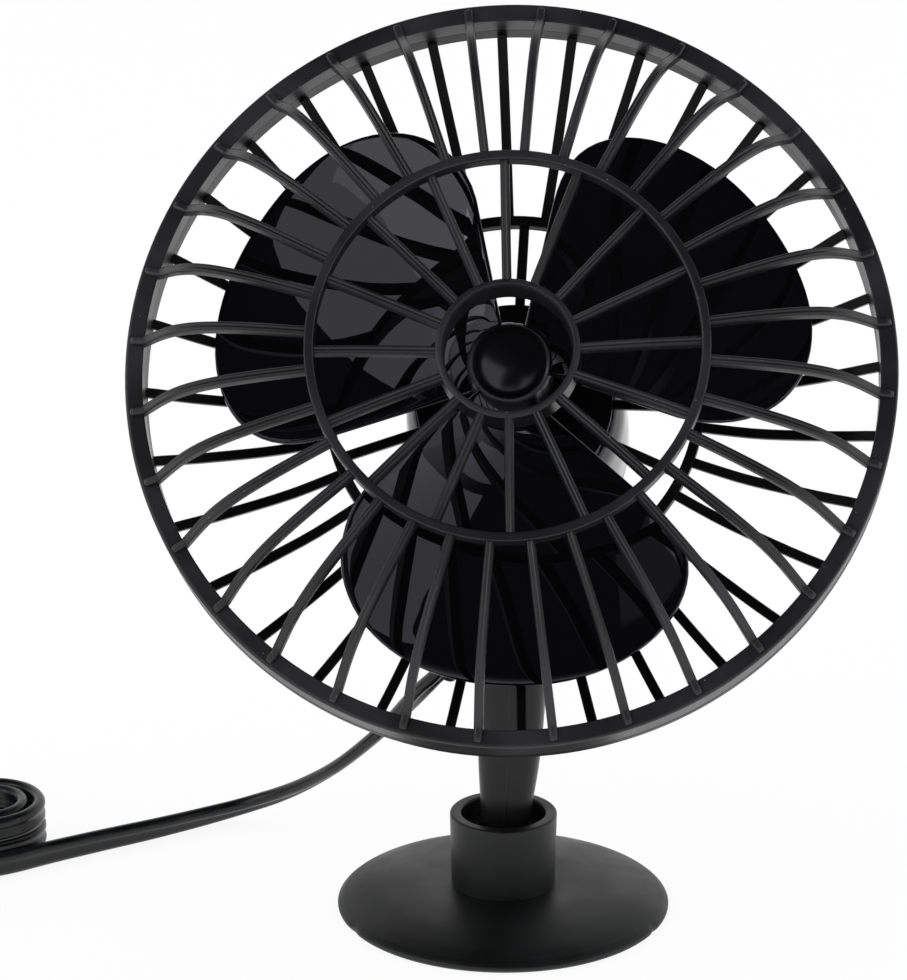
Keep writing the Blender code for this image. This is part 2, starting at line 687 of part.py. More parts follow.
def blade(middle):
    """One cupped blade from inside the hub's wall to its round tip. It rises with the angle from
    its middle, sweeps back on the way out and curls forward at both edges."""
    root = HUB_RADIUS - HUB_WALL * BLADE_ROOT_SHARE
    radii = [root + (BLADE_SHOULDER - root) * s for s in BLADE_RADIAL_SHARES]
    radii += [BLADE_SHOULDER + (BLADE_RADIUS - BLADE_SHOULDER) * s for s in BLADE_ROUND_SHARES]
    made = bmesh.new()
    sides = []
    for lift in (BLADE_THICKNESS / 2, -BLADE_THICKNESS / 2):
        rows = []
        for radius in radii:
            leading, trailing = blade_edges(radius)
            reach = radius / BLADE_RADIUS
            row = []
            for i in range(BLADE_CHORD_CELLS + 1):
                turn = (leading + trailing) * i / BLADE_CHORD_CELLS - leading
                height = BLADE_RISE_PER_RADIAN * turn - BLADE_CENTRE_BACK + lift
                height += reach * (BLADE_CUP * turn ** 2 - BLADE_SWEEP)
                angle = middle + turn
                row.append(made.verts.new((radius * math.sin(angle), radius * math.cos(angle), height)))
            rows.append(row)
        for near, far in zip(rows, rows[1:]):
            for i in range(BLADE_CHORD_CELLS):
                made.faces.new((near[i], near[i + 1], far[i + 1], far[i]))
        sides.append(rows[0] + [r[-1] for r in rows[1:-1]] + rows[-1][::-1] + [r[0] for r in rows[-2:0:-1]])
    front, back = sides
    for i in range(len(front)):
        j = (i + 1) % len(front)
        made.faces.new((front[i], front[j], back[j], back[i]))
    return made


def fan_rotor(finish, parent):
    """The moulded impeller: a cupped hub with a domed nose and three wide blades."""
    hollow = HUB_RADIUS - HUB_WALL
    floor = HUB_FRONT - HUB_WALL
    bore = SHAFT_RADIUS + GAP
    socket = SHAFT_FRONT + GAP
    nose = []
    for i in range(NOSE_STEPS + 1):
        turn = math.pi / 2 * i / NOSE_STEPS
        nose.append((HUB_RADIUS * math.cos(turn), HUB_FRONT + NOSE_RISE * math.sin(turn)))
    nose[-1] = (0.0, HUB_FRONT + NOSE_RISE)
    outline = [(0.0, socket), (bore, socket), (bore, -HUB_BACK), (HUB_BOSS_RADIUS, -HUB_BACK)]
    outline += [(HUB_BOSS_RADIUS, floor), (hollow, floor), (hollow, -HUB_BACK), (HUB_RADIUS, -HUB_BACK)]
    made = piece("fan_rotor", turned(outline + nose, ROUND_STEPS), finish, parent)
    for i in range(BLADES):
        helper(made, blade(math.tau * (i + 0.5) / BLADES), "UNION", tag="blade")
    return made


def motor_housing(finish, parent):
    """The front case round the motor, with screw posts inside and the tilt lug below."""
    front = -REAR_DISH - PLATE_DROP - PLATE_THICKNESS - GAP
    back = front - HOUSING_LENGTH
    shoulder = front - HOUSING_SHOULDER
    bore = HOUSING_RADIUS - HOUSING_WALL
    outline = [
        (HOUSING_NOSE_HOLE, front),
        (HOUSING_FRONT_RADIUS, front),
        (HOUSING_SHOULDER_RADIUS, shoulder),
        (HOUSING_RADIUS, (shoulder + back) / 2),
        (HOUSING_RADIUS, back),
        (bore, back),
        (bore, (shoulder + back) / 2),
        (HOUSING_SHOULDER_RADIUS - HOUSING_WALL, shoulder),
        (HOUSING_FRONT_RADIUS - HOUSING_WALL, front - HOUSING_WALL),
        (HOUSING_NOSE_HOLE, front - HOUSING_WALL),
    ]
    made = piece("motor_housing", turned(outline, ROUND_STEPS), finish, parent)
    pivot = shift(y=-PIVOT_DROP, z=-PIVOT_BACK)
    open_angle = math.asin(LUG_NECK / 2 / LUG_RADIUS)
    turns = [open_angle + (math.tau - 2 * open_angle) * i / LUG_STEPS for i in range(LUG_STEPS + 1)]
    top = PIVOT_DROP - bore - HOUSING_WALL / 2
    outline = [(LUG_RADIUS * math.cos(a), LUG_RADIUS * math.sin(a)) for a in turns]
    outline += [(top, -LUG_NECK / 2), (top, LUG_NECK / 2)]
    helper(made, prism(outline, -LUG_WIDTH / 2, LUG_WIDTH / 2), "UNION", pivot @ ACROSS, "lug")
    for side in (-1, 1):
        post = rod(POST_RADIUS, back, front - HOUSING_WALL / 2, TINY_STEPS)
        helper(made, post, "UNION", shift(x=side * POST_OFFSET), "post")
    pivot_hole = rod(BOLT_RADIUS + GAP, -LUG_WIDTH, LUG_WIDTH, TINY_STEPS)
    helper(made, pivot_hole, place=pivot @ ACROSS)
    for side in (-1, 1):
        depth = CASE_SCREW_LENGTH - POST_SEAT + OVERRUN
        hole = rod(CASE_SCREW_RADIUS + GAP, back - OVERRUN, back + depth, TINY_STEPS)
        helper(made, hole, place=shift(x=side * POST_OFFSET))
        hole = rod(PLATE_SCREW_RADIUS + GAP, front - HOUSING_WALL - OVERRUN, front + OVERRUN, TINY_STEPS)
        helper(made, hole, place=shift(y=side * PLATE_SCREW_OFFSET))
    return made


def rear_cap(finish, parent):
    """The cap that closes the housing: rounded, vented at its sides, and cut for the switch."""
    front = housing_back() - GAP
    back = front - CAP_LENGTH
    outer = [(HOUSING_RADIUS * r, front - CAP_LENGTH * z) for r, z in CAP_SHARES]
    lip_out = HOUSING_RADIUS - HOUSING_WALL - GAP
    lip_in = lip_out - CAP_LIP_WALL
    inner = [(lip_in * r, front - (CAP_LENGTH - HOUSING_WALL) * z) for r, z in CAP_SHARES]
    outline = outer + [(0.0, back), (0.0, back + HOUSING_WALL)] + inner[::-1]
    outline += [(lip_in, front + CAP_LIP), (lip_out, front + CAP_LIP), (lip_out, front)]
    made = piece("rear_cap", turned(outline, ROUND_STEPS), finish, parent)
    seat = front - POST_SEAT
    core = [(0.0, front)] + [(r - GAP, z + GAP) for r, z in outer] + [(0.0, back + GAP)]
    core = piece("rear_cap_core", turned(core, ROUND_STEPS), None, parent, smooth=False)
    for side in (-1, 1):
        post = rod(CAP_POST_RADIUS, back, front - GAP, TINY_STEPS)
        place = shift(x=side * POST_OFFSET) @ Matrix.Rotation(POST_TURN, 4, "Z")
        post = piece(f"rear_cap_post_{side + 2}", post, None, parent, place, False)
        combine(post, core, "INTERSECT")
        combine(made, post, "UNION")
    for side in (-1, 1):
        place = shift(x=side * POST_OFFSET) @ Matrix.Rotation(POST_TURN, 4, "Z")
        well = rod(CASE_SCREW_HEAD + GAP, back - OVERRUN, seat, TINY_STEPS)
        helper(made, well, place=place)
        hole = rod(CASE_SCREW_RADIUS + GAP, seat - OVERRUN, front + OVERRUN, TINY_STEPS)
        helper(made, hole, place=place)
    window = block(SWITCH_TUB_WIDTH + 2 * GAP, SWITCH_TUB_HEIGHT + 2 * GAP, back - OVERRUN, back + 2 * HOUSING_WALL)
    helper(made, window)
    for side in (0, math.pi):
        for angle in VENT_ANGLES:
            slot = block(VENT_WIDTH, HOUSING_RADIUS, front - VENT_START - VENT_LENGTH, front - VENT_START)
            turn = Matrix.Rotation(side + math.radians(angle), 4, "Z")
            helper(made, slot, place=turn @ shift(y=HOUSING_RADIUS))
    for step in made.modifiers:
        step.solver = "MANIFOLD"
    return made


def housing_back():
    """Height of the housing's open end behind the rim's face."""
    return -REAR_DISH - PLATE_DROP - PLATE_THICKNESS - GAP - HOUSING_LENGTH


def motor(steel, magnet, copper, nylon, parent, rotor):
    """The brushed motor: can, end bell, bearings, magnets, brushes and terminals; its armature,
    commutator and shaft turn with the rotor."""
    front = -REAR_DISH - PLATE_DROP - PLATE_THICKNESS - 2 * GAP - HOUSING_WALL
    back = front - CAN_LENGTH
    inner = CAN_RADIUS - CAN_WALL
    boss_bore = BEARING_RADIUS + GAP
    shaft_bore = SHAFT_RADIUS + GAP
    can = piece("motor_can", turned([
        (shaft_bore, front + CAN_BOSS_LENGTH),
        (CAN_BOSS_RADIUS, front + CAN_BOSS_LENGTH),
        (CAN_BOSS_RADIUS, front),
        (CAN_RADIUS, front),
        (CAN_RADIUS, back),
        (inner, back),
        (inner, front - CAN_WALL),
        (boss_bore, front - CAN_WALL),
        (boss_bore, front + CAN_BOSS_LENGTH - CAN_WALL),
        (shaft_bore, front + CAN_BOSS_LENGTH - CAN_WALL),
    ], PLAIN_STEPS), steel, parent)
    for side in (-1, 1):
        hole = rod(PLATE_SCREW_RADIUS + GAP, front - CAN_WALL - OVERRUN, front + OVERRUN, TINY_STEPS)
        helper(can, hole, place=shift(y=side * PLATE_SCREW_OFFSET))
    bearing_top = front + CAN_BOSS_LENGTH - CAN_WALL - GAP
    running_bore = SHAFT_RADIUS + RUNNING_GAP
    bush = tube(running_bore, BEARING_RADIUS, bearing_top - BEARING_LENGTH, bearing_top, SMALL_STEPS)
    piece("front_bearing", bush, copper, parent)
    bell = back - GAP
    bell_back = bell - END_BELL_THICKNESS
    piece("motor_end_bell", turned([
        (boss_bore, bell),
        (CAN_RADIUS, bell),
        (CAN_RADIUS, bell_back),
        (CAN_BOSS_RADIUS, bell_back),
        (CAN_BOSS_RADIUS, bell_back - END_BOSS_LENGTH),
        (shaft_bore, bell_back - END_BOSS_LENGTH),
        (shaft_bore, bell_back - END_BOSS_LENGTH + CAN_WALL),
        (boss_bore, bell_back - END_BOSS_LENGTH + CAN_WALL),
    ], PLAIN_STEPS), nylon, parent)
    low = bell_back - END_BOSS_LENGTH + CAN_WALL + GAP
    piece("rear_bearing", tube(running_bore, BEARING_RADIUS, low, low + BEARING_LENGTH, SMALL_STEPS), copper, parent)
    magnet_out = inner - GAP
    magnet_in = magnet_out - MAGNET_THICKNESS
    magnet_top = front - CAN_WALL - BEARING_LENGTH
    for name, centre in (("magnet_left", math.pi), ("magnet_right", 0.0)):
        turns = [centre + MAGNET_SPAN * (i / MAGNET_STEPS - 0.5) for i in range(MAGNET_STEPS + 1)]
        outline = [(magnet_out * math.cos(a), magnet_out * math.sin(a)) for a in turns]
        outline += [(magnet_in * math.cos(a), magnet_in * math.sin(a)) for a in turns[::-1]]
        piece(name, prism(outline, magnet_top - MAGNET_LENGTH, magnet_top), magnet, parent)
    core_radius = magnet_in - 2 * GAP
    core_top = magnet_top - (MAGNET_LENGTH - ARMATURE_LENGTH) / 2
    core_low = core_top - ARMATURE_LENGTH
    outline = []
    for i in range(ARMATURE_POLES * POLE_STEPS):
        deep = POLE_DEPTH if i % POLE_STEPS == 0 else 0.0
        angle = math.tau * i / (ARMATURE_POLES * POLE_STEPS)
        outline.append(((core_radius - deep) * math.cos(angle), (core_radius - deep) * math.sin(angle)))
    core = piece("armature", prism(outline, core_low, core_top), copper, rotor)
    helper(core, rod(shaft_bore, core_low - OVERRUN, core_top + OVERRUN, SMALL_STEPS))
    drum_top = core_low - GAP
    drum = tube(shaft_bore, COMMUTATOR_RADIUS, drum_top - COMMUTATOR_LENGTH, drum_top, SMALL_STEPS)
    piece("commutator", drum, copper, rotor)
    end = bell_back - END_BOSS_LENGTH
    piece("motor_shaft", rod(SHAFT_RADIUS, end, SHAFT_FRONT, TINY_STEPS), steel, rotor)
    start = COMMUTATOR_RADIUS + GAP
    for name, side in (("brush_left", -1), ("brush_right", 1)):
        brush = block(BRUSH_REACH, BRUSH_WIDTH, bell + GAP, drum_top - COMMUTATOR_LENGTH / 4)
        piece(name, brush, copper, parent, shift(x=side * (start + BRUSH_REACH / 2)), False)
    for name, side in (("terminal_left", -1), ("terminal_right", 1)):
        tag = block(TERMINAL_WIDTH, TERMINAL_THICKNESS, bell_back - GAP - TERMINAL_LENGTH, bell_back - GAP)
        piece(name, tag, steel, parent, shift(x=side * TERMINAL_OFFSET), False)


def screw(name, radius, head_radius, head_height, length, finish, parent, place):
    """A pan-head screw whose head sits at the origin and whose shank runs down Z."""
    outline = [(0, head_height), (head_radius, head_height * 0.6), (head_radius, 0)]
    outline += [(radius, 0), (radius, -length), (0, -length)]
    return piece(name, turned(outline, TINY_STEPS), finish, parent, place)


def switch(plastic, rocker_finish, parent, pivot):
    """The rocker switch: a frame with its tub through the cap, and the rocker on its pin line."""
    face = housing_back() - GAP - CAP_LENGTH - GAP
    tub_end = face + SWITCH_TUB_DEPTH
    frame = block(SWITCH_FRAME_WIDTH, SWITCH_FRAME_HEIGHT, face - SWITCH_FRAME_THICKNESS, face)
    made = piece("switch_frame", frame, plastic, parent, smooth=False)
    helper(made, block(SWITCH_TUB_WIDTH, SWITCH_TUB_HEIGHT, face - SWITCH_FRAME_THICKNESS / 2, tub_end), "UNION", tag="tub")
    hollow_width = SWITCH_TUB_WIDTH - 2 * SWITCH_TUB_WALL
    hollow_height = SWITCH_TUB_HEIGHT - 2 * SWITCH_TUB_WALL
    cavity = block(hollow_width, hollow_height, face - SWITCH_FRAME_THICKNESS - OVERRUN, tub_end - SWITCH_TUB_FLOOR)
    helper(made, cavity)
    half = hollow_height / 2 - 2 * ROCKER_SIDE_GAP
    foot = half * ROCKER_FOOT_SHARE
    outline = [
        (-half, -ROCKER_PROUD),
        (0.0, -ROCKER_PROUD + ROCKER_DIP),
        (half, -ROCKER_PROUD),
        (half, 0.0),
        (foot, ROCKER_DEPTH),
        (-foot, ROCKER_DEPTH),
        (-half, 0.0),
    ]
    width = hollow_width - 2 * ROCKER_SIDE_GAP
    rest = Matrix.Rotation(-ROCKER_HALF_TRAVEL, 4, "X")
    piece("switch_rocker", prism(outline, -width / 2, width / 2), rocker_finish, pivot, rest @ ACROSS, False)


def superellipse(half_width, half_depth, height, steps, power=2.6):
    """A rounded oblong ring of points at one height."""
    ring = []
    for i in range(steps):
        c = math.cos(math.tau * i / steps)
        s = math.sin(math.tau * i / steps)
        x = math.copysign(abs(c) ** (2 / power), c)
        y = math.copysign(abs(s) ** (2 / power), s)
        ring.append((half_width * x, half_depth * y, height))
    return ring


def stem_half_sizes(share):
    """Half width and half depth of the stem at a share of its length."""
    grown = 0.0
    for (a, low), (b, high) in zip(STEM_SWELL_SHARES, STEM_SWELL_SHARES[1:]):
        if share >= a:
            grown = low + (high - low) * min(1.0, (share - a) / (b - a))
    width = STEM_FOOT_WIDTH + (STEM_TOP_WIDTH - STEM_FOOT_WIDTH) * grown
    depth = STEM_FOOT_DEPTH + (STEM_TOP_DEPTH - STEM_FOOT_DEPTH) * grown
    return width / 2, depth / 2


def stem_bow(share):
    """How far the stem's middle stands to its right at a share of its length."""
    return STEM_BOW * math.sin(math.pi * share)


def gland_place():
    """Where the lead's gland stands on the stem, in the stem's frame."""
    half_width = stem_half_sizes(GLAND_HEIGHT / STEM_LENGTH)[0]
    at = (stem_bow(GLAND_HEIGHT / STEM_LENGTH) - half_width, GLAND_SIDE_SHARE * half_width, GLAND_HEIGHT)
    return along(GLAND_DIRECTION, at)


def stem(finish, parent):
    """The tapered stem: a ball below, a fork for the tilt lug above, a pocket for the gland."""
    rings = []
    for share, _ in STEM_SWELL_SHARES:
        half_width, half_depth = stem_half_sizes(share)
        ring = superellipse(half_width, half_depth, share * STEM_LENGTH, PLAIN_STEPS)
        rings.append([(x + stem_bow(share), y, z) for x, y, z in ring])
    made = piece("stem", loft(rings), finish, parent)
    ball = bmesh.new()
    bmesh.ops.create_uvsphere(ball, u_segments=SMALL_STEPS, v_segments=BALL_RINGS, radius=BALL_RADIUS)
    helper(made, ball, "UNION", tag="ball")
    top = Matrix.Translation((0, 0, STEM_LENGTH)) @ ACROSS
    eye = STEM_TOP_WIDTH / 2 - EYE_INSET
    helper(made, rod(FORK_RADIUS, -eye, eye, PLAIN_STEPS), "UNION", top, "eye")
    slot = block(LUG_WIDTH + 2 * GAP, STEM_TOP_WIDTH + STEM_TOP_DEPTH, STEM_LENGTH - FORK_DEPTH,
                 STEM_LENGTH + FORK_RADIUS + OVERRUN)
    helper(made, slot)
    helper(made, rod(BOLT_RADIUS + GAP, -STEM_TOP_WIDTH, STEM_TOP_WIDTH, TINY_STEPS), place=top)
    pocket = rod(GLAND_ROOT_RADIUS + GAP, -GLAND_ROOT_DEPTH - GAP, GLAND_LENGTH, SMALL_STEPS)
    helper(made, pocket, place=gland_place())
    spot_face = rod(GLAND_RADIUS + GAP, GLAND_FLANGE - GAP, GLAND_LENGTH, SMALL_STEPS)
    helper(made, spot_face, place=gland_place())
    return made


def gland(finish, parent):
    """The strain relief: a root in the stem, a flange and a tapered sleeve."""
    start = GLAND_ROOT_RADIUS
    outline = [
        (0, -GLAND_ROOT_DEPTH),
        (start, -GLAND_ROOT_DEPTH),
        (start, GLAND_FLANGE),
        (GLAND_RADIUS, 2 * GLAND_FLANGE),
        (GLAND_RADIUS, 3 * GLAND_FLANGE),
        (GLAND_END_RADIUS, GLAND_LENGTH),
        (0, GLAND_LENGTH),
    ]
    return piece("lead_gland", turned(outline, SMALL_STEPS), finish, parent, gland_place())


def pivot_hardware(steel, plastic, stem_parent, knob_parent):
    """The tilt bolt with its knob on one side, and the nut that it draws on at the other."""
    half = STEM_TOP_WIDTH / 2
    nut_start = half + GAP
    nut = piece("pivot_nut", prism(circle(NUT_RADIUS, 6), nut_start, nut_start + NUT_HEIGHT), steel,
                stem_parent, shift(z=STEM_LENGTH) @ along((-1, 0, 0)), False)
    helper(nut, rod(BOLT_RADIUS + GAP, 0, NUT_HEIGHT + half + OVERRUN, TINY_STEPS),
           place=shift(z=STEM_LENGTH) @ along((-1, 0, 0)))
    end = -nut_start - NUT_HEIGHT - BOLT_TAIL
    knob_start = half + GAP
    bolt_end = knob_start + KNOB_SOCKET
    piece("pivot_bolt", rod(BOLT_RADIUS, end, bolt_end, TINY_STEPS), steel, knob_parent, ACROSS)
    outlines = []
    for height, inset in (
        (knob_start, KNOB_CHAMFER),
        (knob_start + KNOB_CHAMFER, 0.0),
        (knob_start + KNOB_LENGTH - KNOB_CHAMFER, 0.0),
        (knob_start + KNOB_LENGTH, KNOB_CHAMFER),
    ):
        ring = []
        for i in range(KNOB_STEPS):
            angle = math.tau * i / KNOB_STEPS
            radius = KNOB_RADIUS - inset + KNOB_WAVE * math.cos(KNOB_LOBES * angle)
            ring.append((radius * math.cos(angle), radius * math.sin(angle), height))
        outlines.append(ring)
    knob = piece("tilt_knob", loft(outlines), plastic, knob_parent, ACROSS)
    helper(knob, rod(BOLT_RADIUS + GAP, 0, bolt_end + GAP, TINY_STEPS), place=ACROSS)


def suction_cup(finish, parent):
    """The rubber cup: sealing lip, shallow hollow, domed skirt and the neck's collar."""
    lip = CUP_RADIUS - CUP_LIP_WIDTH
    outline = [(lip * (1 - s), CUP_HOLLOW * h) for s, h in reversed(CUP_HOLLOW_SHARES)]
    outline += [(CUP_RADIUS - CUP_EDGE / 2, 0.0), (CUP_RADIUS, CUP_EDGE / 2), (CUP_RADIUS, CUP_EDGE)]
    skirt = CUP_RADIUS - COLLAR_FOOT_RADIUS
    for out, up in CUP_DOME_SHARES:
        outline.append((COLLAR_FOOT_RADIUS + skirt * out, CUP_EDGE + (CUP_RISE - CUP_EDGE) * up))
    top = CUP_RISE + COLLAR_HEIGHT
    outline += [
        (COLLAR_FOOT_RADIUS, CUP_RISE),
        (COLLAR_RADIUS, top - COLLAR_CHAMFER),
        (COLLAR_RADIUS - COLLAR_CHAMFER, top),
        (COLLAR_BORE + COLLAR_CHAMFER / 2, top),
        (COLLAR_BORE, top - COLLAR_CHAMFER),
        (COLLAR_BORE, CUP_FLOOR),
        (0.0, CUP_FLOOR),
    ]
    return piece("suction_cup", turned(outline, FINE_STEPS), finish, parent)


def socket(finish, parent):
    """The hard socket in the neck: a seat below the ball and a ring that keeps it in."""
    reach = BALL_RADIUS + GAP
    outer = COLLAR_BORE - GAP
    floor = CUP_FLOOR + GAP - BALL_HEIGHT
    turns = [math.pi / 2 * (1 - i / SOCKET_STEPS) for i in range(SOCKET_STEPS + 1)]
    bowl = [(reach * math.cos(a), -reach * math.sin(a)) for a in turns]
    bowl[0] = (0.0, -reach)
    outline = [(0.0, floor), (outer, floor), (outer, 0.0)] + bowl[::-1]
    piece("socket_seat", turned(outline, PLAIN_STEPS), finish, parent, shift(z=BALL_HEIGHT))
    rise = math.asin((SOCKET_CAP_HEIGHT + GAP) / reach)
    low = math.asin(GAP / reach)
    arc = [low + (rise - low) * i / SOCKET_STEPS for i in range(SOCKET_STEPS + 1)]
    outline = [(reach * math.cos(a), reach * math.sin(a)) for a in arc]
    outline += [(outer, SOCKET_CAP_HEIGHT + GAP), (outer, GAP)]
    piece("socket_ring", turned(outline, PLAIN_STEPS), finish, parent, shift(z=BALL_HEIGHT))


def lead_twist(share):
    """How far the free lead is turned from standing on its edge at a share of its length."""
    for (a, low), (b, high) in zip(LEAD_TWIST, LEAD_TWIST[1:]):
        if share <= b:
            break
    return math.radians(low + (high - low) * (share - a) / (b - a))


def flat_lead(name, points, finish, parent, twist=None):
    """A stretch of the flat twin lead on edge, with rounded edges and filled ends. A twist turns
    it round its own line."""
    curve = bpy.data.curves.new(name, "CURVE")
    curve.dimensions = "3D"
    curve.twist_mode = "Z_UP"
    curve.bevel_depth = LEAD_THICKNESS / 2
    curve.extrude = (LEAD_WIDTH - LEAD_THICKNESS) / 2
    curve.bevel_resolution = 1
    curve.use_fill_caps = True
    line = curve.splines.new("POLY")
    line.points.add(len(points) - 1)
    for i, (point, place) in enumerate(zip(line.points, points)):
        point.co = (*place, 1.0)
        if twist:
            point.tilt = twist(i / (len(points) - 1))
    curve.materials.append(finish)
    made = bpy.data.objects.new(name, curve)
    bpy.context.scene.collection.objects.link(made)
    made.parent = parent
    return made


def smooth_route(route, count):
    """Evenly spread points on a Catmull-Rom curve through a route's own points."""
    knots = [Vector(p) for p in route]
    knots = [2 * knots[0] - knots[1]] + knots + [2 * knots[-1] - knots[-2]]
    fine = []
    for a, b, c, d in zip(knots, knots[1:], knots[2:], knots[3:]):
        for i in range(count):
            t = i / count
            fine.append(0.5 * (2 * b + (c - a) * t + (2 * a - 5 * b + 4 * c - d) * t ** 2
                               + (3 * b - a - 3 * c + d) * t ** 3))
    fine.append(knots[-2])
    run = [0.0]
    for a, b in zip(fine, fine[1:]):
        run.append(run[-1] + (b - a).length)
    spread = []
    place = 0
    for i in range(count):
        want = run[-1] * i / (count - 1)
        while place < len(run) - 2 and run[place + 1] < want:
            place += 1
        share = (want - run[place]) / (run[place + 1] - run[place])
        spread.append(fine[place].lerp(fine[place + 1], min(1.0, share)))
    return spread


def hank_axes():
    """The hank's centre and its long and short directions on the floor."""
    long_way = Vector((math.cos(HANK_ANGLE), math.sin(HANK_ANGLE), 0))
    short_way = Vector((-math.sin(HANK_ANGLE), math.cos(HANK_ANGLE), 0))
    centre = Vector((HANK_CENTRE[0] * MM, HANK_CENTRE[1] * MM, 0))
    return centre, long_way, short_way


def eased(share):
    """A share from 0 to 1 that starts and ends softly."""
    held = min(1.0, max(0.0, share))
    return held * held * (3 - 2 * held)


def hank_place(x, y, z):
    """A place from its distances along the hank, across it and above the floor."""
    centre, long_way, short_way = hank_axes()
    return centre + long_way * x + short_way * y + Vector((0, 0, z))


def hank_point(turn):
    """A place on the hank: flat loops that spiral in, climb a layer and spiral out again."""
    from_middle = turn - HANK_TURNS / 2
    width = HANK_HALF_WIDTH - HANK_PITCH * (HANK_TURNS / 2 - abs(from_middle))
    width -= HANK_SQUEEZE * eased(1 - abs(from_middle) / HANK_SQUEEZE_TURNS)
    part = 4 * (turn % 1)
    run = HANK_RUN / 2
    if part < 1:
        x, y = run * (1 - 2 * part), -width
    elif part < 2:
        angle = math.pi * (part - 1)
        x, y = -run - width * math.sin(angle), -width * math.cos(angle)
    elif part < 3:
        x, y = run * (2 * (part - 2) - 1), width
    else:
        angle = math.pi * (part - 3)
        x, y = run + width * math.sin(angle), width * math.cos(angle)
    y *= 1 - HANK_WAIST_SHARE * eased(1 - abs(x) / run)
    climb = eased(from_middle / HANK_CLIMB_TURNS + 0.5)
    floor = TIE_THICKNESS + GAP + LEAD_WIDTH / 2
    return hank_place(x - HANK_UPPER_SHIFT * climb, y, floor + HANK_LAYER * climb)


def plug_place():
    """The plug's frame: Z along it to its pin, on the floor behind the hank."""
    long_way = hank_axes()[1]
    start = hank_place(PLUG_START, PLUG_OFFSET, PLUG_RADIUS)
    up = Vector((0, 0, 1))
    side = up.cross(long_way)
    turn = Matrix((side, up, long_way)).transposed().to_4x4()
    return Matrix.Translation(start) @ turn


def lead(finish, parent, gland_end, gland_way):
    """The lead in three stretches: gland to hank, the hank, and its tail to the plug."""
    start = gland_end + gland_way * GAP
    straight = start + gland_way * LEAD_WIDTH
    count = round((HANK_TURNS - HANK_START_TURN) * HANK_POINTS_PER_TURN)
    step = (HANK_TURNS - HANK_START_TURN) / count
    loops = [hank_point(HANK_START_TURN + step * i) for i in range(count + 1)]
    report_least_gap(loops)
    way = (loops[1] - loops[0]).normalized()
    entry = [loops[0] - way * (LEAD_THICKNESS + GAP), loops[0] - way * GAP]
    route = [start, straight] + [Vector(p) * MM for p in LEAD_ROUTE] + entry
    flat_lead("lead_free", smooth_route(route, LEAD_STEPS), finish, parent, lead_twist)
    flat_lead("lead_hank", loops, finish, parent)
    end = loops[-1]
    way = (loops[-1] - loops[-2]).normalized()
    frame = plug_place()
    mouth = frame @ Vector((0, 0, -BOOT_LENGTH - GAP))
    inward = frame.to_3x3() @ Vector((0, 0, 1))
    route = [end + way * GAP, end + way * LEAD_WIDTH]
    route += [hank_place(x * MM, y * MM, z * MM) for x, y, z in TAIL_ROUTE]
    route += [mouth - inward * LEAD_WIDTH, mouth]
    flat_lead("lead_tail", smooth_route(route, TAIL_STEPS), finish, parent)


def report_least_gap(loops):
    """Prints the least clear space between the hank's turns, from its centre line."""
    least = math.inf
    far = HANK_POINTS_PER_TURN // 3
    for i, here in enumerate(loops):
        for a, b in zip(loops[i + far:], loops[i + far + 1:]):
            along_step = b - a
            share = min(1.0, max(0.0, (here - a).dot(along_step) / along_step.length_squared))
            apart = here - (a + along_step * share)
            flat = math.hypot(apart.x, apart.y) - LEAD_THICKNESS
            stacked = abs(apart.z) - LEAD_WIDTH
            least = min(least, max(flat, stacked))
    print(f"least gap in the hank: {least / MM:.2f} mm")


def hank_tie(finish, parent):
    """The strap that holds the hank at its waist."""
    centre, long_way, short_way = hank_axes()
    half = HANK_HALF_WIDTH * (1 - HANK_WAIST_SHARE) + LEAD_THICKNESS / 2 + 2 * GAP
    height = LEAD_WIDTH + HANK_LAYER + 4 * GAP
    outer = [(-half - TIE_THICKNESS, 0.0), (half + TIE_THICKNESS, 0.0)]
    outer += [(half + TIE_THICKNESS, height + 2 * TIE_THICKNESS), (-half - TIE_THICKNESS, height + 2 * TIE_THICKNESS)]
    up = Vector((0, 0, 1))
    turn = Matrix((short_way, up, short_way.cross(up))).transposed().to_4x4()
    place = Matrix.Translation(centre) @ turn
    made = piece("hank_tie", prism(outer, -TIE_WIDTH / 2, TIE_WIDTH / 2), finish, parent, place, False)
    inner = [(-half, TIE_THICKNESS), (half, TIE_THICKNESS), (half, TIE_THICKNESS + height), (-half, TIE_THICKNESS + height)]
    helper(made, prism(inner, -TIE_WIDTH, TIE_WIDTH), place=place)


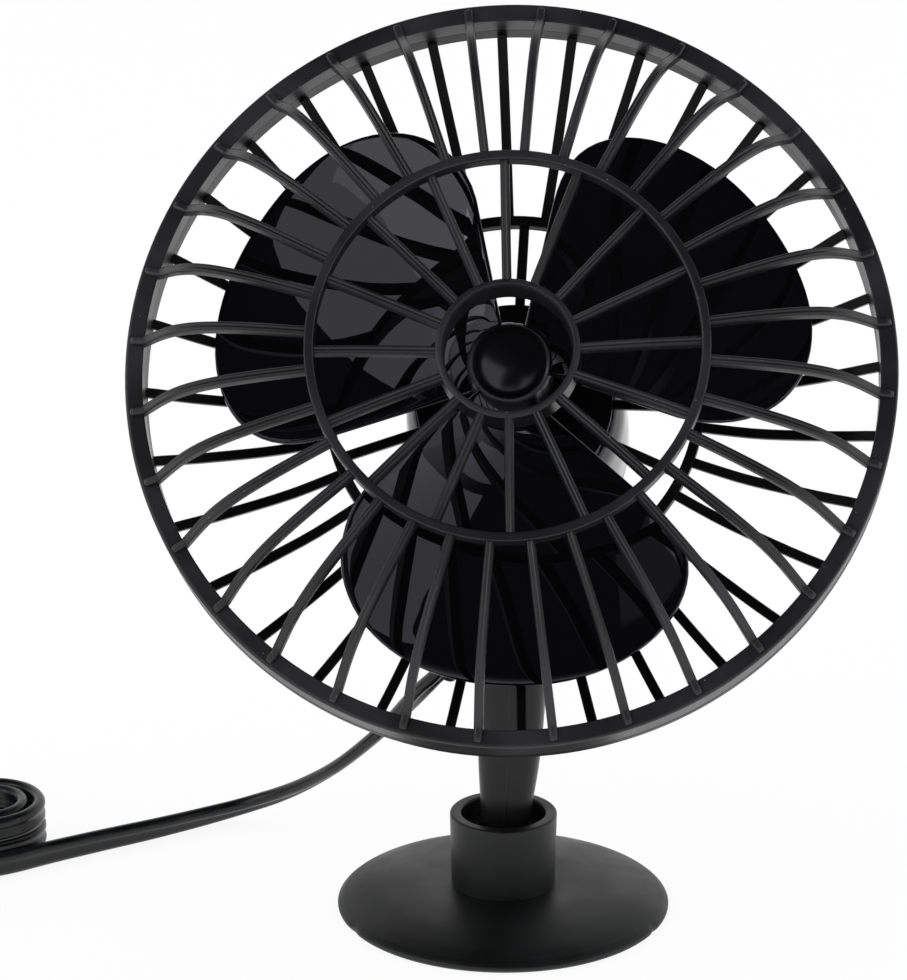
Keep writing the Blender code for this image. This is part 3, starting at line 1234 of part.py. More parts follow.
def plug(plastic, metal, rubber, glass, parent, pin_parent, contact_parents):
    """The lighter plug: body, screwed cap, sprung centre pin, side contacts, fuse and boot."""
    taper = PLUG_BODY_LENGTH - PLUG_TAPER
    bore = PLUG_THROAT_RADIUS - PLUG_WALL
    body = piece("plug_body", turned([
        (0.0, 0.0),
        (PLUG_RADIUS - PLUG_WALL / 2, 0.0),
        (PLUG_RADIUS, PLUG_WALL / 2),
        (PLUG_RADIUS, taper),
        (PLUG_THROAT_RADIUS, PLUG_BODY_LENGTH),
        (FUSE_RADIUS + GAP, PLUG_BODY_LENGTH),
        (FUSE_RADIUS + GAP, PLUG_WALL),
        (0.0, PLUG_WALL),
    ], PLAIN_STEPS), plastic, parent)
    pocket_length = CONTACT_LENGTH + 2 * GAP
    for side in (-1, 1):
        pocket = block(CONTACT_WIDTH + 2 * GAP, pocket_length, bore - GAP, PLUG_RADIUS + OVERRUN)
        helper(body, pocket, place=contact_place(side))
    cap_start = PLUG_BODY_LENGTH + GAP
    cap_end = cap_start + PLUG_CAP_LENGTH
    piece("plug_cap", turned([
        (bore - PLUG_WALL / 2, cap_start),
        (PLUG_CAP_RADIUS, cap_start),
        (PLUG_CAP_RADIUS, cap_end - PLUG_WALL / 2),
        (PLUG_CAP_RADIUS - PLUG_WALL / 2, cap_end),
        (PLUG_CAP_BORE, cap_end),
        (PLUG_CAP_BORE, cap_end - PLUG_CAP_FLOOR),
        (bore - PLUG_WALL / 2, cap_end - PLUG_CAP_FLOOR),
    ], PLAIN_STEPS), plastic, parent)
    stop = cap_end - PLUG_CAP_FLOOR - GAP
    piece("plug_pin", turned([
        (0.0, stop - PIN_SHOULDER),
        (PIN_SHOULDER_RADIUS, stop - PIN_SHOULDER),
        (PIN_SHOULDER_RADIUS, stop),
        (PIN_RADIUS, stop),
        (PIN_RADIUS, cap_end + PIN_PROUD - PIN_RADIUS / 2),
        (PIN_RADIUS / 2, cap_end + PIN_PROUD),
        (0.0, cap_end + PIN_PROUD),
    ], SMALL_STEPS), metal, pin_parent)
    fuse_end = stop - PIN_SHOULDER - PIN_TRAVEL - GAP
    fuse_start = max(fuse_end - FUSE_LENGTH, PLUG_WALL + GAP)
    piece("plug_fuse", rod(FUSE_RADIUS, fuse_start, fuse_end, SMALL_STEPS), glass, parent)
    piece("plug_boot", turned([
        (0.0, -GAP),
        (BOOT_RADIUS, -GAP),
        (BOOT_RADIUS, -BOOT_RADIUS / 2),
        (BOOT_END_RADIUS, -BOOT_LENGTH),
        (0.0, -BOOT_LENGTH),
    ], SMALL_STEPS), rubber, parent)
    for side, (name, holder) in zip((-1, 1), contact_parents):
        root = bore + CONTACT_TRAVEL + GAP
        crest = PLUG_RADIUS + CONTACT_PROUD
        half = CONTACT_LENGTH / 2
        outline = [(-half, root), (half, root)]
        for i in range(CONTACT_STEPS + 1):
            turn = math.pi * i / CONTACT_STEPS
            outline.append((half * math.cos(turn), root + CONTACT_ROOT + (crest - root - CONTACT_ROOT) * math.sin(turn)))
        leaf = prism(outline, -CONTACT_WIDTH / 2, CONTACT_WIDTH / 2)
        piece(name, leaf, metal, holder, contact_place(side) @ ACROSS)


def contact_place(side):
    """A side contact's frame: Z out of the plug's side, Y along the plug."""
    turn = Matrix(((0, 0, side, 0), (-side, 0, 0, 0), (0, 1, 0, 0), (0, 0, 0, 1)))
    return shift(z=CONTACT_CENTRE) @ turn


def centre_on_origin(stand, left_out):
    """Moves everything so that the fan without its lead stands centred on the origin."""
    bpy.context.view_layer.update()
    graph = bpy.context.evaluated_depsgraph_get()
    low = Vector((math.inf,) * 3)
    high = -low
    for made in bpy.context.scene.objects:
        if made.type != "MESH" or made.hide_render or made.name in left_out:
            continue
        seen = made.evaluated_get(graph)
        mesh = seen.to_mesh()
        for vertex in mesh.vertices:
            place = made.matrix_world @ vertex.co
            low = Vector(map(min, low, place))
            high = Vector(map(max, high, place))
        seen.to_mesh_clear()
    stand.location = (-(low.x + high.x) / 2, -(low.y + high.y) / 2, 0)


def build():
    """Clears the scene and puts the whole fan together."""
    for old in list(bpy.data.objects):
        bpy.data.objects.remove(old, do_unlink=True)
    satin = material("satin_black_abs", "26272a", 0.42)
    gloss = material("gloss_black_abs", "121315", 0.08)
    rubber = material("black_rubber", "1b1c1c", 0.75)
    sheath = material("black_pvc", "1e1f20", 0.45)
    steel = material("zinc_steel", "a9abad", 0.35, 1.0)
    copper = material("bronze_copper", "a8703f", 0.4, 1.0)
    ferrite = material("grey_ferrite", "3a3a3c", 0.7)
    nylon = material("white_nylon", "d8d6cf", 0.5)
    glass = material("fuse_glass", "c9d2d0", 0.1)

    stand = empty("stand")
    stem_pivot = empty("stem_pivot", stand, shift(z=BALL_HEIGHT) @ Matrix.Rotation(STEM_LEAN, 4, "Y"))
    head_turn = Matrix.Rotation(math.pi / 2 - HEAD_TILT, 4, "X")
    head_pivot = empty("head_pivot", stem_pivot, shift(z=STEM_LENGTH) @ head_turn)
    head = empty("ring_centre", head_pivot, shift(y=PIVOT_DROP, z=PIVOT_BACK))
    knob_pivot = empty("knob_pivot", stem_pivot, shift(z=STEM_LENGTH))
    rotor = empty("rotor_axis", head)
    rocker_height = housing_back() - 2 * GAP - CAP_LENGTH - SWITCH_FRAME_THICKNESS / 2
    rocker = empty("rocker_pivot", head, shift(z=rocker_height))
    plug_frame = empty("plug_frame", stand, plug_place())

    suction_cup(rubber, stand)
    socket(satin, stand)
    stem(satin, stem_pivot)
    gland(rubber, stem_pivot)
    pivot_hardware(steel, satin, stem_pivot, knob_pivot)
    front_grille(satin, head)
    rear_grille(satin, head)
    fan_rotor(gloss, rotor)
    motor_housing(gloss, head)
    rear_cap(gloss, head)
    motor(steel, ferrite, copper, nylon, head, rotor)
    switch(satin, gloss, head, rocker)
    plate_top = -REAR_DISH - PLATE_DROP
    for number, side in ((1, 1), (2, -1)):
        screw(f"plate_screw_{number}", PLATE_SCREW_RADIUS, PLATE_SCREW_HEAD, PLATE_SCREW_HEAD_HEIGHT,
              PLATE_SCREW_LENGTH, steel, head, shift(y=side * PLATE_SCREW_OFFSET, z=plate_top + GAP))
        seat = housing_back() - GAP - POST_SEAT - GAP
        place = shift(x=side * POST_OFFSET, z=seat) @ Matrix.Rotation(math.pi, 4, "X")
        screw(f"case_screw_{number}", CASE_SCREW_RADIUS, CASE_SCREW_HEAD, CASE_SCREW_HEAD_HEIGHT,
              CASE_SCREW_LENGTH, steel, head, place)
    bpy.context.view_layer.update()
    to_stand = stand.matrix_world.inverted() @ stem_pivot.matrix_world @ gland_place()
    gland_end = to_stand @ Vector((0, 0, GLAND_LENGTH))
    gland_way = (to_stand.to_3x3() @ Vector((0, 0, 1))).normalized()
    lead(sheath, stand, gland_end, gland_way)
    hank_tie(rubber, stand)
    plug(satin, steel, rubber, glass, plug_frame, plug_frame,
         (("contact_front", plug_frame), ("contact_back", plug_frame)))
    lead_nodes = {"lead_free", "lead_hank", "lead_tail", "hank_tie", "plug_body", "plug_cap", "plug_pin",
                  "plug_fuse", "plug_boot", "contact_front", "contact_back"}
    centre_on_origin(stand, lead_nodes)


build()
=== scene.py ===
"""A small 12 V car fan as its photograph shows it: a black caged fan on a tapered stem that
swivels in a suction cup, with its flat twin lead tied in a hank and a lighter plug at its end."""
import json
import math

import bpy
import numpy as np
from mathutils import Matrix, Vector


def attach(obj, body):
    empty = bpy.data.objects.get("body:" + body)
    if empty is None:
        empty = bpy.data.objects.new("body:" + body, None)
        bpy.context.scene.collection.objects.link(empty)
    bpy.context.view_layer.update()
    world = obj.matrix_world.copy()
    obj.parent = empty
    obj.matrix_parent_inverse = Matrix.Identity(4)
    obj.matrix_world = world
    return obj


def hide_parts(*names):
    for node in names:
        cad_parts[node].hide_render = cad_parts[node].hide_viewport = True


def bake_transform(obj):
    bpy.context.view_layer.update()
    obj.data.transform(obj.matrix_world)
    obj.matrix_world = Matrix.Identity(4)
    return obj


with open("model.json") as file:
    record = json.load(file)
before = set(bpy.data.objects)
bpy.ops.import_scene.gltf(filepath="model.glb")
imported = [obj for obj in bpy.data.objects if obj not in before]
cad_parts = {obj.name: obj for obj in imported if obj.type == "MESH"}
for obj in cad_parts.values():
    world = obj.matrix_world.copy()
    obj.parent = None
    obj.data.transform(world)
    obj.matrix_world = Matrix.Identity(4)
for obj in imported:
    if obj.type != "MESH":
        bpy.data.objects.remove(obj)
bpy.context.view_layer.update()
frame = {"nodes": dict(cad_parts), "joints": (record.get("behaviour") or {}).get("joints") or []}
scene = bpy.context.scene
joints = {joint["name"]: joint for joint in frame["joints"]}

# Camera: a long lens in front of the fan, a little to its right and above it, as in the photograph.
# Its place is in millimetres from the cup's middle on the floor, its turn and drop in degrees.
MM = 0.001
CAMERA_PLACE = (45.49, -765.37, 343.49)
CAMERA_TURN = 4.117
CAMERA_DROP = 18.666
CAMERA_LENS = 158.93
SENSOR_WIDTH = 36.0

cup_middle = np.array([*joints["stem_swivel"]["pos_m"][:2], 0.0])
camera = bpy.data.objects.new("camera", bpy.data.cameras.new("camera"))
scene.collection.objects.link(camera)
camera.data.sensor_width = SENSOR_WIDTH
camera.data.lens = CAMERA_LENS
camera.location = cup_middle + np.array(CAMERA_PLACE) * MM
camera.rotation_euler = (math.radians(90 - CAMERA_DROP), 0.0, math.radians(CAMERA_TURN))
scene.camera = camera
scene.view_settings.view_transform = "Standard"

# Lead: black PVC flat twin, two cores side by side with a groove between them, run on its edge.
# It sags from the stem's gland to the floor, winds the whole hank and turns back to the plug.
# LEAD_ROUTE is in millimetres from the cup's middle, and TAIL_ROUTE from the hank's, along it,
# across it and up. LEAD_TWIST gives degrees at shares of the way to the hank.
LEAD_WIDTH = 5.0 * MM
LEAD_THICKNESS = 2.5 * MM
LEAD_STEP = 1.0 * MM
LEAD_SOFTEN = 1.4 * MM
CORE_OPENING = math.radians(142)
CORE_STEPS = 9
GLAND_HEIGHT = 41.0 * MM
GLAND_LENGTH = 10.0 * MM
GLAND_SIDE_SHARE = 0.35
GLAND_DIRECTION = (-0.62, 0.33, -0.71)
STEM_HALF_WIDTH_AT_GLAND = 6.72 * MM
STEM_BOW = 0.75 * MM
STEM_LENGTH = 55.0 * MM
LEAD_TWIST = ((0.0, -70), (0.06, -95), (0.28, -100), (0.38, -84),
              (0.47, -56), (0.57, -32), (0.75, -15), (1.0, 0))
FLOOR_TOUCH = (-60.0, 34.4, 2.7)
LEAD_ROUTE = (
    (-20.6, 14.6, 34.0),
    (-26.0, 19.0, 26.9),
    (-33.2, 25.0, 18.6),
    (-40.0, 31.0, 12.0),
    (-46.6, 35.0, 7.2),
    (-53.5, 36.6, 4.0),
    FLOOR_TOUCH,
    (-70.2, 26.8, 2.6),
    (-80.1, 20.0, 2.6),
    (-89.6, 13.3, 2.6),
    (-99.1, 5.8, 2.8),
)
TAIL_ROUTE = (
    (-62.0, -9.4, 6.0),
    (-69.6, -1.6, 3.4),
    (-72.6, 8.0, 2.6),
    (-70.8, 18.0, 4.0),
    (-65.6, 24.6, 7.6),
)
HANK_MIDDLE = (-138.4, -6.0)
HANK_ANGLE = math.radians(36)
HANK_RUN = 90.0 * MM
HANK_HALF_WIDTH = 11.5 * MM
HANK_PITCH = 3.25 * MM
HANK_WAIST = 0.08
HANK_START = 0.06
HANK_TURNS = 4.25
HANK_POINTS = 900
HANK_LAYER = 5.45 * MM
HANK_SHIFT = 2.2 * MM
HANK_CLIMB = 0.2
HANK_SQUEEZE = 1.0 * MM
HANK_SQUEEZE_TURNS = 0.3
TIE_THICKNESS = 0.5 * MM
FIT = 0.3 * MM
PLUG_START = -42.0 * MM
PLUG_OFFSET = 26.0 * MM
PLUG_RADIUS = 10.4 * MM
BOOT_LENGTH = 14.0 * MM
UP = np.array([0.0, 0.0, 1.0])

hank_way = np.array([math.cos(HANK_ANGLE), math.sin(HANK_ANGLE), 0.0])
hank_axes = np.stack([hank_way, np.cross(UP, hank_way), UP])


def unit(vectors):
    """Vectors at length one."""
    vectors = np.asarray(vectors, float)
    return vectors / np.linalg.norm(vectors, axis=-1, keepdims=True)


def eased(share):
    """Shares from 0 to 1 that start and end softly."""
    held = np.clip(share, 0.0, 1.0)
    return held * held * (3 - 2 * held)


def way_along(line):
    """The distance from a line's start to each of its points."""
    return np.concatenate([[0.0], np.cumsum(np.linalg.norm(np.diff(line, axis=0), axis=1))])


def evenly(line, step):
    """Points at even steps along a line of points."""
    run = way_along(line)
    places = np.linspace(0.0, run[-1], int(round(run[-1] / step)) + 1)
    return np.stack([np.interp(places, run, column) for column in line.T], axis=1)


def smooth_route(knots, cells=24):
    """A Catmull-Rom curve through knots: each span is a cubic that leaves its ends along the
    line between their neighbours."""
    knots = np.asarray(knots, float)
    padded = np.vstack([2 * knots[0] - knots[1], knots, 2 * knots[-1] - knots[-2]])
    a, b, c, d = padded[:-3, None], padded[1:-2, None], padded[2:-1, None], padded[3:, None]
    t = np.linspace(0.0, 1.0, cells, endpoint=False)[None, :, None]
    slow, fast = 2 * a - 5 * b + 4 * c - d, 3 * b - a - 3 * c + d
    spans = (2 * b + (c - a) * t + slow * t ** 2 + fast * t ** 3) / 2
    return np.vstack([spans.reshape(-1, knots.shape[1]), knots[-1]])


def softened(line, reach, step):
    """A line of even points averaged with a bell of weights, its ends run on straight."""
    count = int(3 * reach / step)
    weights = np.exp(-0.5 * (np.arange(-count, count + 1) * step / reach) ** 2)
    weights = weights / weights.sum()
    ahead = line[-1] + (line[-1] - line[-2]) * np.arange(1, count + 1)[:, None]
    before = line[0] + (line[0] - line[1]) * np.arange(count, 0, -1)[:, None]
    columns = np.vstack([before, line, ahead]).T
    return np.stack([np.convolve(column, weights, "valid") for column in columns], axis=1)


def in_hank(places):
    """Places along the hank, across it and above the floor, in the object's own frame."""
    return cup_middle + np.array([*HANK_MIDDLE, 0.0]) * MM + places @ hank_axes


def hank_line(turns):
    """The hank's line: flat loops, two straight runs and two half circles a turn, that spiral in,
    climb a layer where the spiral reverses and spiral out again, drawn in at the waist."""
    from_middle = turns - HANK_TURNS / 2
    width = HANK_HALF_WIDTH - HANK_PITCH * (HANK_TURNS / 2 - np.abs(from_middle))
    width = width - HANK_SQUEEZE * eased(1 - np.abs(from_middle) / HANK_SQUEEZE_TURNS)
    quarter = 4 * (turns % 1)
    run = HANK_RUN / 2
    near = math.pi * (quarter - 1)
    far = math.pi * (quarter - 3)
    sides = [quarter < 1, quarter < 2, quarter < 3]
    ways = [run * (1 - 2 * quarter), -run - width * np.sin(near), run * (2 * (quarter - 2) - 1)]
    x = np.select(sides, ways, run + width * np.sin(far))
    y = np.select(sides, [-width, -width * np.cos(near), width], width * np.cos(far))
    y = y * (1 - HANK_WAIST * eased(1 - np.abs(x) / run))
    climb = eased(from_middle / HANK_CLIMB + 0.5)
    floor_gap = TIE_THICKNESS + FIT + LEAD_WIDTH / 2
    return in_hank(np.stack([x - HANK_SHIFT * climb, y, floor_gap + HANK_LAYER * climb], axis=1))


def swept(line, outline, wide_towards, twist):
    """Closed sections along a line: an outline's first number runs along its wide direction and
    its second across that. The wide direction stays as near as it can to wide_towards, and is
    turned from there round the line by the twist."""
    way = unit(np.gradient(line, axis=0))
    level = np.broadcast_to(wide_towards, line.shape)
    level = unit(level - way * np.sum(level * way, axis=1, keepdims=True))
    twist = twist[:, None]
    wide = level * np.cos(twist) + np.cross(way, level) * np.sin(twist)
    thin = np.cross(way, wide)
    return line[:, None] + wide[:, None] * outline[None, :, :1] + thin[:, None] * outline[None, :, 1:]


def skin(sections, joined=False, tips=(None, None)):
    """Points and faces of a closed skin through closed sections: quads between neighbours, and
    either the last section joined to the first, or each end closed by a fan to its middle."""
    rows, columns = sections.shape[:2]
    grid = np.arange(rows * columns).reshape(rows, columns)
    points = sections.reshape(-1, 3)
    if joined:
        grid = np.vstack([grid, grid[:1]])
    after = np.roll(grid, -1, axis=1)
    faces = np.stack([grid[:-1], after[:-1], after[1:], grid[1:]], axis=-1).reshape(-1, 4)
    corners = np.concatenate([faces[:, [0, 1, 2]], faces[:, [0, 2, 3]]])
    faces = faces.tolist()
    if not joined:
        middles = [end.mean(0) if tip is None else tip for end, tip in zip(sections[[0, -1]], tips)]
        points = np.vstack([points, middles])
        first, last = np.full((2, columns), [[rows * columns], [rows * columns + 1]])
        fans = np.concatenate([np.stack([after[0], grid[0], first], axis=1),
                               np.stack([grid[-1], after[-1], last], axis=1)])
        corners = np.concatenate([corners, fans])
        faces += fans.tolist()
    a, b, c = points[corners].transpose(1, 0, 2)
    if np.sum(a * np.cross(b, c)) < 0:
        faces = [face[::-1] for face in faces]
    return points, faces


def make_piece(name, skins, body, look, stands_for, sharp=35):
    """One mesh of closed skins in the object's own frame, riding on a body, in place of CAD nodes.
    Its look is a material and a slot's name, which is not used. Edges sharper than an angle in
    degrees stay sharp in the light."""
    material, slot = look
    points, faces, start = [], [], 0
    for part_points, part_faces in skins:
        points.append(part_points)
        faces += [[start + corner for corner in face] for face in part_faces]
        start += len(part_points)
    mesh = bpy.data.meshes.new(name)
    mesh.from_pydata(np.concatenate(points).tolist(), [], faces)
    mesh.polygons.foreach_set("use_smooth", [True] * len(faces))
    mesh.set_sharp_from_angle(angle=math.radians(sharp))
    mesh.materials.append(material)
    piece = bpy.data.objects.new(name, mesh)
    scene.collection.objects.link(piece)
    if body:
        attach(piece, body)
    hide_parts(*stands_for)
    return piece


def linear(code):
    """Linear red, green, blue and alpha of an sRGB hex colour."""
    channels = np.array([int(code[i:i + 2], 16) for i in (1, 3, 5)]) / 255
    return (*np.where(channels <= 0.04045, channels / 12.92, ((channels + 0.055) / 1.055) ** 2.4), 1.0)


def add(tree, kind, settings=(), stops=(), **sockets):
    """A node with its settings, the places and colours of its ramp's two stops, and its sockets
    given a value or joined to another node's output. A socket is named, or numbered as in _0."""
    made = tree.nodes.new(kind)
    for name, value in dict(settings).items():
        setattr(made, name, value)
    for i, (place, code) in enumerate(stops):
        made.color_ramp.interpolation = "EASE"
        made.color_ramp.elements[i].position = place
        made.color_ramp.elements[i].color = linear(code)
    for name, value in sockets.items():
        socket = made.inputs[int(name[1:]) if name[1:].isdigit() else name.replace("_", " ")]
        if isinstance(value, bpy.types.NodeSocket):
            tree.links.new(value, socket)
        else:
            socket.default_value = value
    return made


def new_material(name):
    """An empty material, its tree and its Principled shader."""
    material = bpy.data.materials.new(name)
    material.use_nodes = True
    return material, material.node_tree, material.node_tree.nodes["Principled BSDF"]


def finish(name, slot, cloud, tone, polish, grain, relief, sheen=0.5, metal=0.0, tint="#ffffff"):
    """The look of a moulded, drawn or plated skin: its material, and a slot's name passed on with it.
    Cloud and grain are noises: cells a millimetre, detail and roughness. Tone and polish drift with the
    cloud between a list's two stops, polish as greys, or are one value all over. The grain is
    raised by relief, a strength and a depth in millimetres."""
    material, tree, shader = new_material(name)
    place = add(tree, "ShaderNodeTexCoord").outputs["Object"]
    drift, height = (
        add(tree, "ShaderNodeTexNoise", Vector=place, Scale=cells / MM, Detail=detail, Roughness=rough)
        for cells, detail, rough in (cloud, grain)
    )
    for socket, look in ((shader.inputs["Base Color"], tone), (shader.inputs["Roughness"], polish)):
        if isinstance(look, list):
            shade = add(tree, "ShaderNodeValToRGB", stops=look, Fac=drift.outputs["Fac"])
            tree.links.new(shade.outputs["Color"], socket)
        else:
            socket.default_value = look
    strength, depth = relief
    bump = add(tree, "ShaderNodeBump", Height=height.outputs["Fac"], Strength=strength, Distance=depth * MM)
    tree.links.new(bump.outputs["Normal"], shader.inputs["Normal"])
    shader.inputs["Specular IOR Level"].default_value = sheen
    shader.inputs["Specular Tint"].default_value = linear(tint)
    shader.inputs["Metallic"].default_value = metal
    return material, slot


# Extruded PVC: near black with a soft gloss, drawn mottling each 4 mm and fine handling marks.
sheath = finish("pvc_sheath", "lead_sheath", cloud=(0.26, 3.0, 0.5),
                tone=[(0.35, "#08090a"), (0.7, "#101215")], polish=[(0.3, "#868686"), (0.7, "#a0a0a0")],
                grain=(2.6, 2.0, 0.5), relief=(0.25, 0.02), sheen=0.38)

stem_up = np.array(joints["stem_swivel"]["axis"])
stem_across = unit(np.array(joints["head_tilt"]["axis"]))
stem_axes = np.stack([stem_across, np.cross(stem_up, stem_across), stem_up])
stem_foot = np.array(joints["stem_swivel"]["pos_m"])
gland_across = STEM_BOW * math.sin(math.pi * GLAND_HEIGHT / STEM_LENGTH) - STEM_HALF_WIDTH_AT_GLAND
gland_back = GLAND_SIDE_SHARE * STEM_HALF_WIDTH_AT_GLAND
gland_root = stem_foot + np.array([gland_across, gland_back, GLAND_HEIGHT]) @ stem_axes
gland_line = unit(unit(GLAND_DIRECTION) @ stem_axes)
gland_end = gland_root + gland_line * (GLAND_LENGTH + FIT)

plug_way = -unit(joints["pin_press"]["axis"])
plug_origin = in_hank(np.array([[PLUG_START, PLUG_OFFSET, PLUG_RADIUS]]))[0]
plug_mouth = plug_origin - plug_way * (BOOT_LENGTH + FIT)

hank = hank_line(np.linspace(HANK_START, HANK_TURNS, HANK_POINTS))
hank_in = unit(hank[1] - hank[0])
hank_out = unit(hank[-1] - hank[-2])
free_run = smooth_route(np.vstack([
    gland_end,
    gland_end + gland_line * LEAD_WIDTH,
    cup_middle + np.array(LEAD_ROUTE) * MM,
    hank[0] - hank_in * (LEAD_THICKNESS + FIT),
    hank[0] - hank_in * FIT,
]))
tail_run = smooth_route(np.vstack([
    hank[-1] + hank_out * FIT,
    hank[-1] + hank_out * LEAD_WIDTH,
    in_hank(np.array(TAIL_ROUTE) * MM),
    plug_mouth - plug_way * LEAD_WIDTH,
    plug_mouth + plug_way * FIT,
]))
lead_line = softened(evenly(np.vstack([free_run, hank, tail_run]), LEAD_STEP), LEAD_SOFTEN, LEAD_STEP)
lead_way = way_along(lead_line)
twist_shares, twist_degrees = smooth_route(LEAD_TWIST, 8).T
lead_twist = np.radians(np.interp(lead_way / way_along(free_run)[-1], twist_shares, twist_degrees))
core_turns = np.linspace(-CORE_OPENING, CORE_OPENING, CORE_STEPS)
core_side = LEAD_THICKNESS / 2 * np.stack([1 + np.cos(core_turns), np.sin(core_turns)], axis=1)
lead_outline = np.vstack([core_side, -core_side])
lead = make_piece("lead", [skin(swept(lead_line, lead_outline, UP, lead_twist))], None, sheath,
                  ("lead_free", "lead_hank", "lead_tail"), sharp=60)
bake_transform(lead)

# Floor and light: a white sweep, a large soft box in front on the left that shows in the gloss
# blades with a brighter window in it, two lower panes on the right, and a white room behind that
# is dark above the camera. The floor shows its own white and still takes the fan's shadow.
FLOOR_HALF = 6.0
FLOOR_DROP = 0.05 * MM
FLOOR_OWN_WHITE = 0.9
ROOM_LEAN = -0.35
WHITE = linear("#ffffff")

floor_mesh = bpy.data.meshes.new("floor")
floor_corners = FLOOR_HALF * np.array([(-1, -1, 0), (1, -1, 0), (1, 1, 0), (-1, 1, 0)])
floor_mesh.from_pydata(floor_corners.tolist(), [], [(0, 1, 2, 3)])
floor = bpy.data.objects.new("floor", floor_mesh)
floor.location.z = -FLOOR_DROP
scene.collection.objects.link(floor)
floor_material, floor_tree, floor_shader = new_material("white_sweep")
floor_shader.inputs["Base Color"].default_value = linear("#f7f7f7")
floor_shader.inputs["Roughness"].default_value = 0.9
floor_shader.inputs["Specular IOR Level"].default_value = 0.1
floor_ray = add(floor_tree, "ShaderNodeLightPath")
looked_at = floor_ray.outputs["Is Camera Ray"]
for operation, other in (("MAXIMUM", floor_ray.outputs["Is Glossy Ray"]),
                         ("MAXIMUM", floor_ray.outputs["Is Transmission Ray"]),
                         ("MULTIPLY", FLOOR_OWN_WHITE)):
    step = add(floor_tree, "ShaderNodeMath", {"operation": operation}, _0=looked_at, _1=other)
    looked_at = step.outputs[0]
glow = add(floor_tree, "ShaderNodeEmission", Color=WHITE, Strength=1.0)
floor_mix = add(floor_tree, "ShaderNodeMixShader", _0=looked_at, _1=floor_shader.outputs[0],
                _2=glow.outputs[0])
floor_tree.links.new(floor_mix.outputs[0], floor_tree.nodes["Material Output"].inputs["Surface"])
floor_mesh.materials.append(floor_material)

head_place = np.array(joints["fan_spin"]["pos_m"])


def soft_box(name, azimuth, elevation, distance, size, radiance):
    """A square lamp that faces the fan's head, placed by its angle to the right of straight in
    front and its angle above the floor. Its power is its radiance times pi times its area."""
    turn, rise = math.radians(azimuth), math.radians(elevation)
    way = np.array([math.sin(turn) * math.cos(rise), -math.cos(turn) * math.cos(rise), math.sin(rise)])
    lamp = bpy.data.lights.new(name, "AREA")
    lamp.shape = "RECTANGLE"
    lamp.size, lamp.size_y = size
    lamp.energy = radiance * math.pi * size[0] * size[1]
    made = bpy.data.objects.new(name, lamp)
    made.location = head_place + way * distance
    made.rotation_mode = "QUATERNION"
    made.rotation_quaternion = Vector(-way).to_track_quat("-Z", "Y")
    scene.collection.objects.link(made)


# Degrees to the right, degrees up, metres away, width and height in metres, radiance.
soft_box("left_box", -46, 22, 1.6, (2.05, 1.22), 1.0)
soft_box("left_window", -62, 28, 1.7, (0.75, 0.7), 0.6)
soft_box("left_strip", -68, 25, 1.75, (0.2, 0.5), 2.0)
soft_box("right_box", 27, 9, 1.6, (0.5, 0.62), 0.85)
soft_box("right_pane", 46, 15, 1.6, (0.36, 0.5), 0.75)
soft_box("ceiling_glow", -4, 34, 1.6, (0.34, 0.12), 0.16)
soft_box("right_strip", 80, 22, 1.4, (0.5, 1.1), 1.6)

# The room goes from white at the floor to dark overhead, for what the gloss mirrors; the light
# that it casts is even, and the camera sees it white.
world = bpy.data.worlds.new("studio")
scene.world = world
world.use_nodes = True
room = world.node_tree
room_ray = add(room, "ShaderNodeLightPath")
room_way = add(room, "ShaderNodeTexCoord").outputs["Generated"]
room_parts = add(room, "ShaderNodeSeparateXYZ", Vector=room_way)
lean = add(room, "ShaderNodeMath", {"operation": "MULTIPLY"}, _0=room_parts.outputs["Y"], _1=ROOM_LEAN)
height = add(room, "ShaderNodeMath", {"operation": "ADD"}, _0=room_parts.outputs["Z"], _1=lean.outputs[0])
sky = add(room, "ShaderNodeValToRGB", stops=[(0.1, "#ffffff"), (0.62, "#34363a")], Fac=height.outputs[0])
even_room = add(room, "ShaderNodeMix", {"data_type": "RGBA"}, _0=room_ray.outputs["Is Diffuse Ray"],
                _6=sky.outputs["Color"], _7=linear("#f6f6f6"))
seen_room = add(room, "ShaderNodeMix", {"data_type": "RGBA"}, _0=room_ray.outputs["Is Camera Ray"],
                _6=even_room.outputs[2], _7=WHITE)
room.links.new(seen_room.outputs[2], room.nodes["Background"].inputs["Color"])

# Front grille: one moulding in satin black ABS. Its rim carries 32 outer ribs that curve up to the
# middle ring and 16 inner ribs to the nose ring. Each rib has a shallow groove along its crest,
# between sloping flanks, and its tip runs out rounded over the rim.
GRILLE_TURN = math.radians(-3.93)
OUTER_RIBS = 32
INNER_RIBS = 16
RIM_STEPS = 192
NOSE_STEPS = 128
RIM_RADIUS = 69.62
RIM_BACK_RADIUS = RIM_RADIUS - 0.1
RIM_INNER = 66.4
RIM_BACK = -6.65
LAP_RADIUS = 68.2
LAP_FLOOR = -4.9
SPLIT_RADIUS = 69.15
SPLIT = ((RIM_RADIUS, -4.45), (SPLIT_RADIUS, -4.55), (SPLIT_RADIUS, -4.85), (RIM_BACK_RADIUS, -4.95))
RIM_OUTLINE = ((RIM_INNER, 0.0), (RIM_RADIUS, 0.0), *SPLIT, (RIM_BACK_RADIUS, RIM_BACK),
               (LAP_RADIUS, RIM_BACK), (LAP_RADIUS, LAP_FLOOR), (RIM_INNER, LAP_FLOOR))
RIM_ROUNDING = (0.25, 0.6, 0.05, 0.04, 0.04, 0.05, 0.1, 0.1, 0.1, 0.03)
MIDDLE_RING = ((34.3, 15.5), (36.0, 15.5), (36.0, 12.1), (34.3, 12.1))
MIDDLE_ROUNDING = (0.45, 0.3, 0.2, 0.2)
NOSE_RING = ((11.5, 12.2), (11.85, 12.9), (12.35, 12.9), (12.5, 12.6), (12.9, 12.45),
             (12.9, 5.5), (11.5, 5.5))
